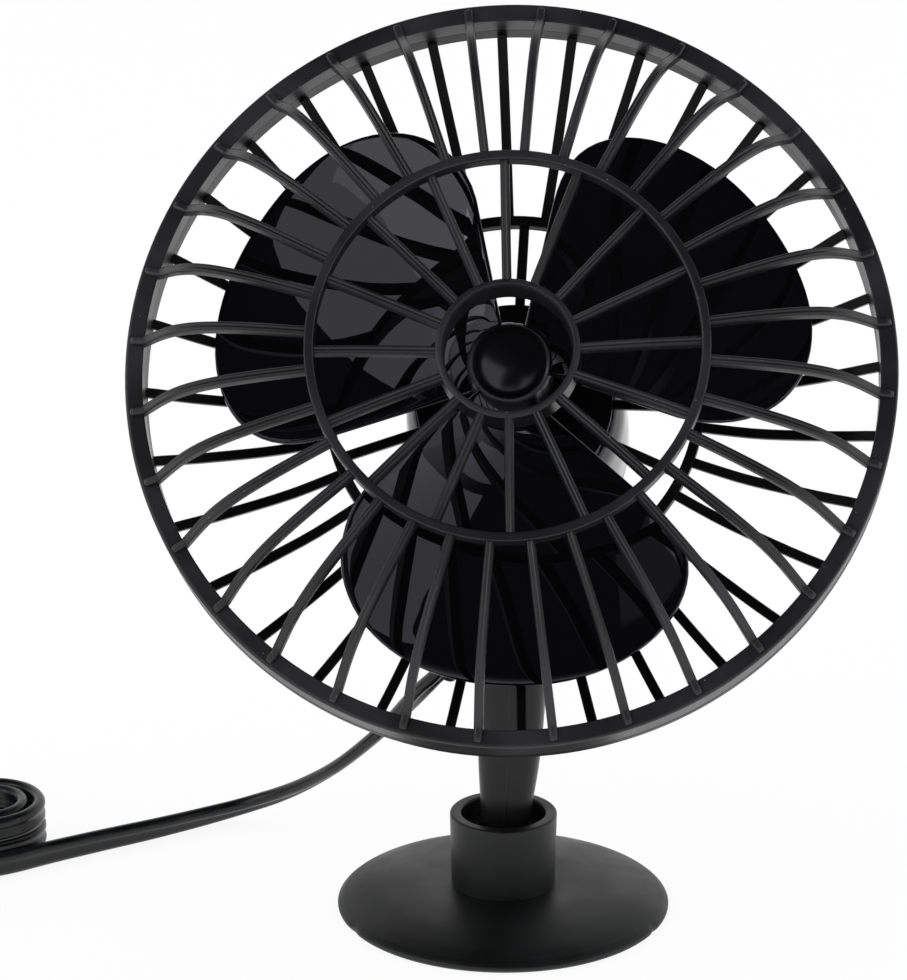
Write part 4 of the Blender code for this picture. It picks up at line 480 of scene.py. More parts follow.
NOSE_ROUNDING = (0.2, 0.12, 0.12, 0.1, 0.2, 0.2, 0.2)
RIB_WIDTH = 1.65
RIB_STEP = 0.8
RIB_SOFTEN = 1.8
FRONT_RIB_PATH = ((66.4, 1.5), (60.6, 9.55), (54.9, 13.2), (48.2, 14.7), (41.6, 15.05), (35.2, 15.1))
INNER_RIB_PATH = ((35.0, 14.75), (29.0, 14.5), (23.0, 13.9), (17.0, 13.1), (12.2, 12.45))
RIB_HALF_SECTION = ((0.0, 0.0), (0.09, 0.0), (0.18, 0.0), (0.25, 0.02), (0.34, 0.1), (0.46, 0.36),
                    (0.5, 0.62), (0.5, 2.6))
RIB_TIP = 68.9
RIB_TIP_ROUND = ((0.0, 0.15, 0.9), (0.06, 0.5, 1.2), (0.26, 0.82, 1.45), (0.7, 1.1, 1.6))
RIB_GROOVE = 0.2
GROOVE_REACH = 0.13
GROOVE_FADE = 7.0
GROOVE_START = 0.2

head_forward = unit(joints["fan_spin"]["axis"])
head_across = unit(joints["head_tilt"]["axis"])


def placer(origin, across, ahead):
    """A function that takes millimetres in a piece's own frame, whose X runs across and whose Z
    runs ahead, to metres in the object's frame."""
    axes = np.stack([across, np.cross(ahead, across), ahead])
    return lambda places: origin + np.asarray(places) * MM @ axes


in_head = placer(head_place, head_across, head_forward)


def around(radius, angle, height):
    """Places at a distance from the axis, clockwise from the top, and at a height along it."""
    radius, angle, height = np.broadcast_arrays(radius, angle, height)
    return np.stack([radius * np.sin(angle), radius * np.cos(angle), height], axis=-1)


def rounded(corners, reach, steps=4, closed=True):
    """An outline whose corners are curves: each leaves and meets its sides at the reach, with one
    more point just beyond, so that the flat beside it stays flat in the light."""
    corners = np.asarray(corners, float)
    back = np.roll(corners, 1, axis=0) - corners
    ahead = np.roll(corners, -1, axis=0) - corners
    back_length, ahead_length = (np.linalg.norm(side, axis=1, keepdims=True) for side in (back, ahead))
    reach = np.broadcast_to(reach, len(corners))[:, None]
    start = np.minimum(reach / back_length, 0.4) * back
    end = np.minimum(reach / ahead_length, 0.4) * ahead
    t = np.linspace(0.0, 1.0, steps + 1)[None, :, None]
    curve = corners[:, None] + (1 - t) ** 2 * start[:, None] + t ** 2 * end[:, None]
    before, after = (corners + 1.2 * start)[:, None], (corners + 1.2 * end)[:, None]
    curve = np.concatenate([before, curve, after], axis=1)
    if closed:
        return curve.reshape(-1, 2)
    return np.vstack([corners[:1], curve[1:-1].reshape(-1, 2), corners[-1:]])


def turned(outline, steps, place=in_head, reach=0.0, curve=4):
    """A skin turned round a frame's Z from a closed outline of radius and height, or from one that
    starts and ends on the axis and is closed there. A reach rounds the outline's corners."""
    closed = outline[0][0] > 0
    if np.any(reach):
        outline = rounded(outline, reach, curve, closed)
    angles = np.linspace(0.0, math.tau, steps, endpoint=False)
    radius, height = np.asarray(outline, float).T
    if closed:
        return skin(place(around(radius[None], angles[:, None], height[None])), joined=True)
    rings = place(around(radius[1:-1, None], angles[None], height[1:-1, None]))
    tips = place(around(radius[[0, -1]], np.zeros(2), height[[0, -1]]))
    return skin(rings, tips=tuple(tips))


def rib(path, angle, widths, section, groove=0.0):
    """A radial rib: a section hung under a path of radius and height, at a width for each place.
    A groove of a depth for each place runs down its middle, shaped as a bell."""
    across, down = np.asarray(section, float).T
    radius, height = np.asarray(path, float).T
    widths, groove = (np.broadcast_to(sizes, radius.shape)[:, None] for sizes in (widths, groove))
    side = across * widths
    top = height[:, None] - down - groove * np.exp(-(across / GROOVE_REACH) ** 2)
    places = np.stack([side, np.broadcast_to(radius[:, None], side.shape), top], axis=-1)
    sine, cosine = math.sin(angle), math.cos(angle)
    turn = np.array([[cosine, -sine, 0.0], [sine, cosine, 0.0], [0.0, 0.0, 1.0]])
    return skin(in_head(places @ turn))


# Moulded satin ABS: charcoal, with a soft unevenness in the gloss each 18 mm, a spark grain drawn
# at 0.4 mm, which is coarser than the mould's own so that it shows, and pale specks of dust.
satin_black = finish("moulded_satin_abs", "satin_black", cloud=(0.055, 4.0, 0.5),
                     tone=[(0.3, "#141416"), (0.75, "#252528")],
                     polish=[(0.25, "#949494"), (0.8, "#b0b0b0")], grain=(2.4, 3.0, 0.5),
                     relief=(0.35, 0.03), sheen=0.38)
SPECKS = 0.42 / MM
SPECK_STRENGTH = 0.5
satin_tree = satin_black[0].node_tree
satin_base = satin_tree.nodes["Principled BSDF"].inputs["Base Color"]
satin_place = add(satin_tree, "ShaderNodeTexCoord").outputs["Object"]
dust = add(satin_tree, "ShaderNodeTexVoronoi", Vector=satin_place, Scale=SPECKS)
speck = add(satin_tree, "ShaderNodeValToRGB", stops=[(0.03, "#8a8a86"), (0.055, "#000000")],
            Fac=dust.outputs["Distance"])
dusted = add(satin_tree, "ShaderNodeMix", {"data_type": "RGBA", "blend_type": "ADD"}, _0=SPECK_STRENGTH,
             _6=satin_base.links[0].from_socket, _7=speck.outputs["Color"])
satin_tree.links.new(dusted.outputs[2], satin_base)

rib_section = [(-across, down) for across, down in RIB_HALF_SECTION[:0:-1]] + [*RIB_HALF_SECTION]
rib_path = softened(evenly(smooth_route(FRONT_RIB_PATH, 8), RIB_STEP), RIB_SOFTEN, RIB_STEP)[::2]
tip_inwards, tip_height, tip_width = np.array(RIB_TIP_ROUND).T
rib_widths = np.concatenate([tip_width, np.full(len(rib_path), RIB_WIDTH)])
rib_path = np.vstack([np.stack([RIB_TIP - tip_inwards, tip_height], axis=1), rib_path])
rib_groove = RIB_GROOVE * eased((RIB_TIP - rib_path[:, 0]) / GROOVE_FADE - GROOVE_START)
inner_path = smooth_route(INNER_RIB_PATH, 3)
outer_angles = GRILLE_TURN + math.tau * (np.arange(OUTER_RIBS) + 0.5) / OUTER_RIBS
inner_angles = GRILLE_TURN + math.tau * np.arange(INNER_RIBS) / INNER_RIBS
for name, skins, sharp in (
    ("front_rim", [turned(RIM_OUTLINE, RIM_STEPS, reach=RIM_ROUNDING)], 35),
    ("front_outer_ribs", [rib(rib_path, angle, rib_widths, rib_section, rib_groove)
                          for angle in outer_angles], 20),
    ("front_middle_ring", [turned(MIDDLE_RING, RIM_STEPS, reach=MIDDLE_ROUNDING)], 35),
    ("front_inner_ribs", [rib(inner_path, angle, RIB_WIDTH, rib_section, RIB_GROOVE)
                          for angle in inner_angles], 20),
    ("nose_ring", [turned(NOSE_RING, NOSE_STEPS, reach=NOSE_ROUNDING)], 35),
):
    make_piece(name, skins, "head", satin_black, ("front_grille",), sharp)

# Rear grille: the same ABS, dished, with flat bars, with little grain and little sheen. It lies in the
# cage's own shade, and its black is darker than the front grille's as painted shade, so it shows as pure
# black between the front ribs.
REAR_RIM = ((66.4, -5.0), (67.9, -5.0), (67.9, -6.75), (69.55, -6.75), (69.55, -9.2), (66.4, -9.2))
REAR_ROUNDING = (0.03, 0.1, 0.1, 0.2, 0.5, 0.3)
REAR_RIB_PATH = ((67.2, -7.1), (66.4, -7.4), (58.9, -12.0), (47.1, -17.6), (41.0, -19.2), (34.4, -20.0))
REAR_RIB_STEP = 3.2
REAR_INNER_PATH = ((34.2, -20.0), (26.0, -20.4), (17.8, -20.9))
REAR_RING = ((33.3, -19.6), (35.2, -19.6), (35.2, -22.3), (33.3, -22.3))
REAR_PLATE = ((5.6, -20.6), (18.2, -20.6), (18.2, -22.4), (5.6, -22.4))
REAR_EDGE = 0.25
PLATE_STEPS = 96
BAR_WIDTH = 1.85
BAR_SECTION = ((-0.36, 1.9), (-0.5, 0.2), (-0.4, 0.0), (0.4, 0.0), (0.5, 0.2), (0.36, 1.9))
REAR_TURN = GRILLE_TURN - math.radians(0.7)
REAR_INNER_TURN = math.radians(4.2)


def deep_black_abs(name, dark, light, sheen):
    """Moulded ABS in a darker black than the satin: two deep shades of black in faint clouds each 17 mm,
    with a low sheen. On the rear guard this darker black is painted shade."""
    return finish(name, "satin_black", cloud=(0.06, 4.0, 0.5), tone=[(0.3, dark), (0.75, light)],
                  polish=[(0.3, "#9c9c9c"), (0.75, "#b6b6b6")], grain=(2.4, 2.0, 0.5),
                  relief=(0.2, 0.02), sheen=sheen)


rear_path = evenly(smooth_route(REAR_RIB_PATH, 8), REAR_RIB_STEP)
rear_angles = REAR_TURN + math.tau * np.arange(OUTER_RIBS) / OUTER_RIBS
# The rear guard takes a darker black than the front grille's satin plastic: painted shade for the cage's
# shade.
guard_painted_shade_black = deep_black_abs("rear_guard_painted_shade_abs", "#060607", "#0d0d0f", 0.2)
rear_skins = [
    turned(REAR_RIM, RIM_STEPS, reach=REAR_ROUNDING),
    turned(REAR_RING, NOSE_STEPS, reach=REAR_EDGE),
    turned(REAR_PLATE, PLATE_STEPS, reach=REAR_EDGE),
    *(rib(rear_path, angle, BAR_WIDTH, BAR_SECTION) for angle in rear_angles),
    *(rib(REAR_INNER_PATH, angle + REAR_INNER_TURN, BAR_WIDTH, BAR_SECTION) for angle in inner_angles),
]
make_piece("rear_guard", rear_skins, "head", guard_painted_shade_black, ("rear_grille",), sharp=30)

# Impeller: gloss black ABS, three wide helical blades on a domed hub. The blades have rounded
# edges and mirror the grille in front of them; the hub is rubbed a little dull.
BLADE_COUNT = 3
BLADE_RADIUS = 56.2
BLADE_ROOT = 6.6
BLADE_TIP_LENGTH = 24.5
BLADE_LEADING_ANGLE = math.radians(50.5)
BLADE_TRAILING_ANGLE = math.radians(46)
BLADE_LEADING_ROUND = 2.83
BLADE_TRAILING_ROUND = 1.55
BLADE_ROUND_POWER = 3.0
BLADE_RISE_PER_RADIAN = 7.0
BLADE_CENTRE_BACK = 2.25
BLADE_SWEEP = 8.3
BLADE_CUP = 10.5
BLADE_THICKNESS = 1.5
BLADE_THIN_POWER = 16
EDGE_REACH = 0.8
EDGE_SHARE = 0.3
EDGE_STEPS = 8
CHORD_POINTS = 42
ROOT_RINGS = 11
TIP_RINGS = 26
HUB_RADIUS = 7.7
HUB_SHOULDER = 2.4
HUB_DOME = 3.4
HUB_SKIRT = 2.0
HUB_BACK = -14.4


def gloss_abs(name, polish_low, polish_high, wave_strength):
    """Moulded gloss ABS: near black, a faintly violet mirror gloss with smears each 11 mm and a
    slow wave each 31 mm, which bends what it mirrors."""
    return finish(name, "gloss_black", cloud=(0.09, 5.0, 0.5), tone=linear("#060607"),
                  polish=[(0.4, polish_low), (0.8, polish_high)], grain=(0.032, 2.0, 0.5),
                  relief=(wave_strength, 0.25), tint="#f4f1ff")


def blade(middle):
    """A blade as closed sections at rising radii. A section is the chord's front and back, flat
    but for half a circle at each edge. Past the shoulder each end of the chord shortens as the
    root of one less a power of the way out, which rounds the tip. The chord rises evenly from its
    leading end, and both ends curl forwards as the square of the turn."""
    shoulder = BLADE_RADIUS - BLADE_TIP_LENGTH
    share = 1 - (1 - np.linspace(0.0, 1.0, TIP_RINGS, endpoint=False)) ** 3
    out = np.concatenate([np.linspace(BLADE_ROOT, shoulder, ROOT_RINGS, endpoint=False),
                          shoulder + BLADE_TIP_LENGTH * share])
    share = np.concatenate([np.zeros(ROOT_RINGS), share])
    leading = BLADE_LEADING_ANGLE * (1 - share ** BLADE_LEADING_ROUND) ** (1 / BLADE_ROUND_POWER)
    trailing = BLADE_TRAILING_ANGLE * (1 - share ** BLADE_TRAILING_ROUND) ** (1 / BLADE_ROUND_POWER)
    half_length = ((leading + trailing) / 2 * out)[:, None]
    edge = np.minimum(EDGE_REACH, EDGE_SHARE * half_length)
    flat = (half_length - edge) * np.linspace(-1.0, 1.0, CHORD_POINTS)[None]
    curl = np.linspace(0.0, math.pi, EDGE_STEPS + 1)[1:-1]
    end = half_length - edge + edge * np.sin(curl)[None]
    along = np.concatenate([flat, end, flat[:, ::-1], -end[:, ::-1]], axis=1)
    ones = np.ones(CHORD_POINTS)
    lift = np.concatenate([ones, np.cos(curl), -ones, -np.cos(curl)])
    lift = BLADE_THICKNESS / 2 * lift[None] * np.sqrt(1 - share ** BLADE_THIN_POWER)[:, None]
    turn = ((trailing - leading) / 2)[:, None] + along / out[:, None]
    height = BLADE_RISE_PER_RADIAN * turn - BLADE_CENTRE_BACK + lift
    height = height + (out / BLADE_RADIUS)[:, None] * (BLADE_CUP * turn ** 2 - BLADE_SWEEP)
    return skin(in_head(around(out[:, None], middle + turn, height)))


gloss_black = gloss_abs("moulded_gloss_abs", "#1a1a1a", "#3c3c3c", 0.6)
hub_black = gloss_abs("moulded_hub_abs", "#787878", "#949494", 0.3)
hub_curve = np.linspace(0.0, math.pi / 2, 14)[1:]
hub_dome = np.stack([HUB_RADIUS * np.sin(hub_curve), HUB_SHOULDER + HUB_DOME * np.cos(hub_curve)], axis=1)
hub_sides = rounded([(HUB_RADIUS, HUB_SKIRT), (HUB_RADIUS, HUB_BACK), (0.3, HUB_BACK)], 0.3, closed=False)
hub_outline = np.vstack([[(0.0, HUB_SHOULDER + HUB_DOME)], hub_dome, hub_sides[1:], [(0.0, HUB_BACK)]])
make_piece("impeller", [blade(math.tau * (i + 0.5) / BLADE_COUNT) for i in range(BLADE_COUNT)],
           "rotor", gloss_black, ("fan_rotor",), sharp=40)
make_piece("impeller_hub", [turned(hub_outline, 72)], "rotor", hub_black, ("fan_rotor",), sharp=40)

# Motor housing: a gloss black cup behind the rear grille's plate, drawn in at its front, with the
# tilt lug moulded below it.
CASE_STEPS = 128
HOUSING_OUTLINE = ((6.0, -22.7), (18.5, -22.7), (20.3, -27.3), (21.0, -38.6), (21.0, -50.0),
                   (19.2, -50.0), (19.2, -38.6), (18.5, -28.4), (16.7, -24.5), (6.0, -24.5))
HOUSING_ROUNDING = (0.3, 1.4, 3.0, 4.0, 0.35, 0.2, 1.0, 1.0, 0.6, 0.2)
HOUSING_BORE = 19.2
HALF_WALL = 0.9
PIVOT_DROP = 28.0
LUG_HALF_WIDTH = 3.0
LUG_RADIUS = 5.4
LUG_HALF_NECK = 3.8
LUG_TOP = PIVOT_DROP - HOUSING_BORE - HALF_WALL
LUG_EDGE = 0.35


def slab(outline, low, high, edge, place=in_head, steps=3):
    """A skin of a closed outline pressed from low to high, whose two edges are quarters of a
    circle: at each the outline is drawn in along its normals."""
    outline = np.asarray(outline, float)
    way = np.roll(outline, -1, axis=0) - np.roll(outline, 1, axis=0)
    x, y = outline.T
    area = np.sum(x * np.roll(y, -1) - y * np.roll(x, -1))
    inward = unit(np.stack([-way[:, 1], way[:, 0]], axis=1)) * np.sign(area)
    turn = np.linspace(0.0, math.pi / 2, steps + 1)
    inset = edge * (1 - np.sin(turn))
    rise = edge * (1 - np.cos(turn))
    insets = np.concatenate([inset, inset[::-1]])[:, None, None]
    heights = np.concatenate([low + rise, high - rise[::-1]])
    flat = outline[None] + inward[None] * insets
    heights = np.broadcast_to(heights[:, None, None], (*flat.shape[:2], 1))
    return skin(place(np.concatenate([flat, heights], axis=2)))


def cut(base, cutters):
    """A skin with other skins cut out of it, as the slides of a mould leave it."""
    made = []
    for i, (points, faces) in enumerate([base, *cutters]):
        mesh = bpy.data.meshes.new(f"cut_{i}")
        mesh.from_pydata(points.tolist(), [], faces)
        made.append(bpy.data.objects.new(f"cut_{i}", mesh))
        scene.collection.objects.link(made[-1])
    for cutter in made[1:]:
        step = made[0].modifiers.new(cutter.name, "BOOLEAN")
        step.object = cutter
        step.solver = "EXACT"
    bpy.context.view_layer.update()
    result = bpy.data.meshes.new_from_object(made[0].evaluated_get(bpy.context.evaluated_depsgraph_get()))
    places = np.empty(len(result.vertices) * 3)
    result.vertices.foreach_get("co", places)
    faces = [list(face.vertices) for face in result.polygons]
    for thing in made:
        bpy.data.meshes.remove(thing.data)
    bpy.data.meshes.remove(result)
    return places.reshape(-1, 3), faces


# The lug's own frame starts at the tilt bolt: up the head, towards its front and along the bolt.
pivot_place = np.array(joints["head_tilt"]["pos_m"])
head_up = np.cross(head_forward, head_across)
in_lug = placer(pivot_place, head_up, head_across)
neck_turn = math.asin(LUG_HALF_NECK / LUG_RADIUS)
lug_turns = np.linspace(neck_turn, math.tau - neck_turn, 40)
lug_outline = np.vstack([LUG_RADIUS * np.stack([np.cos(lug_turns), np.sin(lug_turns)], axis=1),
                         [(LUG_TOP, -LUG_HALF_NECK), (LUG_TOP, LUG_HALF_NECK)]])
lug = slab(lug_outline, -LUG_HALF_WIDTH, LUG_HALF_WIDTH, LUG_EDGE, in_lug)
make_piece("motor_case", [turned(HOUSING_OUTLINE, CASE_STEPS, reach=HOUSING_ROUNDING), lug],
           "head", gloss_black, ("motor_housing",))

# Rear cap: the same plastic, rounded over, vented above and below, with two screw wells and the
# switch's window in its end. Cuts through it start beyond its end.
CAP_OUTLINE = ((0.0, -67.0), (12.0, -67.0), (15.5, -66.2), (18.7, -63.0), (20.7, -57.0), (21.0, -50.3),
               (19.2, -50.3), (19.0, -56.0), (17.0, -61.9), (14.0, -64.6), (11.0, -65.2), (0.0, -65.2))
CAP_ROUNDING = (0.1, 2.0, 2.0, 3.0, 3.0, 0.35, 0.1, 2.0, 1.5, 1.5, 1.0, 0.1)
CUT_START = -70.0
CUT_END = -62.0
CUT_EDGE = 0.01
VENT_ANGLES = (-18, 0, 18)
VENT_MIDDLE = -55.9
VENT_HALF_LENGTH = 3.0
VENT_HALF_WIDTH = 0.65
VENT_REACH = (16.5, 24.0)
WELL_STEPS = 32
WELL_OFFSET = 14.9
WELL_RADIUS = 2.2
WELL_SEAT = -56.3
WELL_DRILL = ((0.0, CUT_START), (WELL_RADIUS, CUT_START), (WELL_RADIUS, CUT_END), (0.0, CUT_END))
WELL_OUTLINE = ((WELL_RADIUS, -65.0), (3.0, -65.0), (3.0, WELL_SEAT), (1.3, WELL_SEAT), (1.3, -57.3),
                (WELL_RADIUS, -57.3))
SWITCH_WINDOW = (4.5, 6.9)
WINDOW_CORNER = 0.3


def stadium(half_length, half_width, steps=8):
    """An outline of two straight sides joined by half circles."""
    turn = np.linspace(-math.pi / 2, math.pi / 2, steps)
    end = half_width * np.stack([np.cos(turn), np.sin(turn)], axis=1)
    straight = np.array([half_length - half_width, 0.0])
    return np.vstack([straight + end, -straight - end])


def box_outline(half_width, half_height, corner, steps=4):
    """A rectangle's outline with rounded corners."""
    return rounded([(-half_width, -half_height), (half_width, -half_height), (half_width, half_height),
                    (-half_width, half_height)], corner, steps)


vent = stadium(VENT_HALF_LENGTH, VENT_HALF_WIDTH)
cap_cutters = []
for side in (0.0, math.pi):
    for angle in VENT_ANGLES:
        turn = side + math.radians(angle)
        outward = head_across * math.sin(turn) + head_up * math.cos(turn)
        in_vent = placer(in_head((0.0, 0.0, VENT_MIDDLE)), head_forward, outward)
        cap_cutters.append(slab(vent, *VENT_REACH, CUT_EDGE, in_vent, 1))
wells = []
for side in (-1, 1):
    in_well = placer(in_head((side * WELL_OFFSET, 0.0, 0.0)), head_across, head_forward)
    cap_cutters.append(turned(WELL_DRILL, WELL_STEPS, in_well))
    wells.append(turned(WELL_OUTLINE, WELL_STEPS, in_well))
window = box_outline(*SWITCH_WINDOW, WINDOW_CORNER)
cap_cutters.append(slab(window, CUT_START, CUT_END, CUT_EDGE, steps=1))
cap_solid = turned(CAP_OUTLINE, CASE_STEPS, reach=CAP_ROUNDING)
make_piece("back_case", [cut(cap_solid, cap_cutters), *wells], "head", gloss_black, ("rear_cap",), sharp=30)

# Rocker switch: a bezel clipped in the cap's end and a gloss rocker that tips on its middle, with
# grip ridges on its low end. The rocker's face is a shallow arch.
BEZEL_HALF = (5.2, 7.8)
BEZEL_FRONT = -67.3
BEZEL_BACK = -68.7
BEZEL_HOLE = (3.4, 5.8)
HOLE_END = -66.0
TUB_HALF = (4.2, 6.6)
TUB_START = BEZEL_FRONT - 0.5
TUB_END = -58.7
TUB_FLOOR = -59.9
ROCKER_REST = math.radians(-8)
ROCKER_HALF_WIDTH = 3.05
ROCKER_HALF_LENGTH = 5.1
ROCKER_LIP = -1.5
ROCKER_ARCH = 0.9
ROCKER_BACK = ((5.1, 0.0), (3.2, 3.2), (-3.2, 3.2), (-5.1, 0.0))
RIDGE_HEIGHT = 0.14
RIDGE_PITCH = 0.9
RIDGES_FROM = -4.7
RIDGES_TO = -2.0

bezel = slab(box_outline(*BEZEL_HALF, 0.9), BEZEL_BACK, BEZEL_FRONT, 0.35)
tub = slab(box_outline(*TUB_HALF, 0.4), TUB_START, TUB_END, 0.1, steps=1)
hole = box_outline(*BEZEL_HOLE, WINDOW_CORNER)
bezel = cut(bezel, [slab(hole, CUT_START, HOLE_END, CUT_EDGE, steps=1)])
tub = cut(tub, [slab(hole, CUT_START, TUB_FLOOR, CUT_EDGE, steps=1)])
make_piece("switch_bezel", [bezel, tub], "head", satin_black, ("switch_frame",), sharp=30)

# The rocker's own frame starts at its pin: up the rocker, into the switch and across it.
rocker_up = head_up * math.cos(ROCKER_REST) + head_forward * math.sin(ROCKER_REST)
in_rocker = placer(np.array(joints["rocker_tip"]["pos_m"]), rocker_up, head_across)
rocker_face = np.linspace(-ROCKER_HALF_LENGTH, ROCKER_HALF_LENGTH, 41)
rocker_top = ROCKER_LIP + ROCKER_ARCH * (1 - (rocker_face / ROCKER_HALF_LENGTH) ** 2)
ridge_wave = np.clip(np.sin((rocker_face - RIDGES_FROM) * math.tau / RIDGE_PITCH), 0.0, 1.0)
ridges = RIDGE_HEIGHT * ridge_wave * ((rocker_face > RIDGES_FROM) & (rocker_face < RIDGES_TO))
rocker_outline = np.vstack([np.stack([rocker_face, rocker_top - ridges], axis=1), ROCKER_BACK])
rocker = slab(rocker_outline, -ROCKER_HALF_WIDTH, ROCKER_HALF_WIDTH, 0.25, in_rocker)
make_piece("rocker_key", [rocker], "rocker", gloss_black, ("switch_rocker",), sharp=30)

# Tilt pivot: a zinc plated bolt through the fork, a hex nut on its left and the lobed clamp knob on
# its right, moulded in the satin plastic.
NUT_START = 7.3
NUT_HEIGHT = 2.2
NUT_RADIUS = 3.4
NUT_CORNER = 0.35
NUT_DRILL = ((0.0, -12.0), (1.9, -12.0), (1.9, -6.0), (0.0, -6.0))
BOLT_RADIUS = 1.6
BOLT_START = ((0.0, -10.1), (1.2, -10.1))
BOLT_END = ((1.5, 11.2), (0.0, 11.2))
THREAD_START = -9.85
THREAD_LENGTH = 20.0
THREAD_STEP = 0.25
THREAD_DEPTH = 0.14
KNOB_START = 7.3
KNOB_LENGTH = 6.4
KNOB_RADIUS = 7.0
KNOB_WAVE = 0.7
KNOB_LOBES = 6
KNOB_RING = ((3.4, 12.6), (4.9, 12.6), (4.9, 15.0), (3.4, 15.0))

in_bolt = placer(pivot_place, np.cross(stem_up, stem_across), stem_across)

# Bright zinc plate: pale grey metal with a faintly blue and yellow passivation cloud each 3 mm and
# fine turning lines, drawn at 0.2 mm.
steel = finish("zinc_plated_steel", "zinc_steel", cloud=(0.38, 3.0, 0.5),
               tone=[(0.35, "#b9bcbf"), (0.7, "#c9c6b9")], polish=[(0.3, "#606060"), (0.7, "#8c8c8c")],
               grain=(5.2, 1.0, 0.5), relief=(0.2, 0.01), metal=1.0)

nut_turns = np.arange(6) * math.tau / 6
hexagon = rounded(NUT_RADIUS * np.stack([np.cos(nut_turns), np.sin(nut_turns)], axis=1), NUT_CORNER)
nut = slab(hexagon, -NUT_START - NUT_HEIGHT, -NUT_START, 0.3, in_bolt)
nut = cut(nut, [turned(NUT_DRILL, 32, in_bolt)])
make_piece("hex_nut", [nut], "stem", steel, ("pivot_nut",), sharp=30)
thread = np.arange(0.0, THREAD_LENGTH, THREAD_STEP)
thread_radius = BOLT_RADIUS - THREAD_DEPTH * (np.arange(len(thread)) % 2)
bolt_outline = np.vstack([BOLT_START, np.stack([thread_radius, THREAD_START + thread], axis=1), BOLT_END])
make_piece("tilt_bolt", [turned(bolt_outline, 28, in_bolt)], "knob", steel, ("pivot_bolt",), sharp=20)

knob_turns = np.linspace(0.0, math.tau, 144, endpoint=False)
knob_radius = KNOB_RADIUS + KNOB_WAVE * np.cos(KNOB_LOBES * knob_turns)
knob_outline = knob_radius[:, None] * np.stack([np.cos(knob_turns), np.sin(knob_turns)], axis=1)
knob = slab(knob_outline, KNOB_START, KNOB_START + KNOB_LENGTH, 0.8, in_bolt, 5)
knob = cut(knob, [turned(KNOB_RING, 64, in_bolt)])
make_piece("clamp_knob", [knob], "knob", satin_black, ("tilt_knob",), sharp=30)

# Stem: one dull black moulding, oval and swelling upwards, with a ball at its foot, a fork at its
# head and the mould's fine parting line down its front and back.
STEM_FOOT = (4.5, 4.0)
STEM_TOP = (7.0, 6.0)
STEM_POWER = 2.6
STEM_SWELL = ((0.0, 0.0), (0.06, 0.0), (0.12, 0.08), (0.33, 0.54), (0.58, 0.82), (0.8, 0.95), (1.0, 1.0))
STEM_START_SHARE = 0.045
STEM_RINGS = 46
STEM_SIDES = 72
STEM_SIDES_FROM = 0.06
CLOSEST_TURN = 0.0015
PARTING_RISE = 0.13
PARTING_WIDTH = 0.16
PARTING_TURNS = np.array([-0.05, -0.02, -0.01, -0.005, -0.002, 0.0, 0.002, 0.005, 0.01, 0.02, 0.05])
BALL_RADIUS = 6.2
EYE_RADIUS = 6.1
EYE_SIDES = (3.3, 6.9)
EYE_EDGE = 0.5
FORK_FLOOR = 46.4
FORK_TOP = 70.0
FORK_HALF = (3.3, 12.0)


def squared(wave):
    """A sine or cosine bent as a superellipse takes it: its size to the power of two over its own."""
    return np.sign(wave) * np.abs(wave) ** (2 / STEM_POWER)


in_stem = placer(stem_foot, stem_across, stem_up)
stem_turns = np.sort(np.concatenate([
    np.linspace(STEM_SIDES_FROM, math.tau + STEM_SIDES_FROM, STEM_SIDES, endpoint=False),
    math.pi / 2 + PARTING_TURNS,
    3 * math.pi / 2 + PARTING_TURNS,
]))
stem_turns = stem_turns[np.concatenate([[True], np.diff(stem_turns) > CLOSEST_TURN])]
swell_shares, swell = smooth_route(STEM_SWELL, 6).T
shares = np.linspace(STEM_START_SHARE, 1.0, STEM_RINGS)[:, None]
grown = np.interp(shares, swell_shares, swell)
cosine, sine = np.cos(stem_turns)[None], np.sin(stem_turns)[None]
stem_x = (STEM_FOOT[0] + (STEM_TOP[0] - STEM_FOOT[0]) * grown) * squared(cosine)
stem_y = (STEM_FOOT[1] + (STEM_TOP[1] - STEM_FOOT[1]) * grown) * squared(sine)
stem_y = stem_y + np.sign(sine) * PARTING_RISE * np.exp(-(stem_x / PARTING_WIDTH) ** 2)
stem_x = stem_x + STEM_BOW / MM * np.sin(math.pi * shares)
stem_z = np.broadcast_to(shares * STEM_LENGTH / MM, stem_x.shape)
stem_skin = skin(in_stem(np.stack([stem_x, stem_y, stem_z], axis=-1)))
fork_gap = slab(box_outline(*FORK_HALF, 0.4), FORK_FLOOR, FORK_TOP, 0.3, in_stem)
ball_turn = np.linspace(0.0, math.pi, 26)
ball_outline = BALL_RADIUS * np.stack([np.sin(ball_turn), np.cos(ball_turn)], axis=1)
eyes = []
for side in (-1, 1):
    inside, outside = (side * place for place in EYE_SIDES)
    eye_corners = [(0.0, inside), (EYE_RADIUS, inside), (EYE_RADIUS, outside), (0.0, outside)]
    eyes.append(turned(eye_corners, 72, in_bolt, EYE_EDGE))
stem_black = deep_black_abs("moulded_stem_abs", "#0b0b0d", "#141416", 0.34)
make_piece("stem_body", [cut(stem_skin, [fork_gap]), turned(ball_outline, 48, in_stem), *eyes],
           "stem", stem_black, ("stem",), sharp=40)

# Strain relief: soft black rubber pressed into the stem's side, ringed so that the lead bends
# gently as it leaves.
GLAND_OUTLINE = ((0.0, -3.0), (2.6, -3.0), (2.6, 1.4), (3.6, 2.0), (3.6, 4.0), (2.95, 4.3),
                 (2.9, 4.9), (3.4, 5.2), (3.35, 5.9), (2.8, 6.2), (2.75, 6.8), (3.2, 7.1),
                 (3.1, 7.8), (2.65, 8.1), (2.6, 8.7), (2.95, 9.0), (2.9, 10.0), (0.0, 10.0))

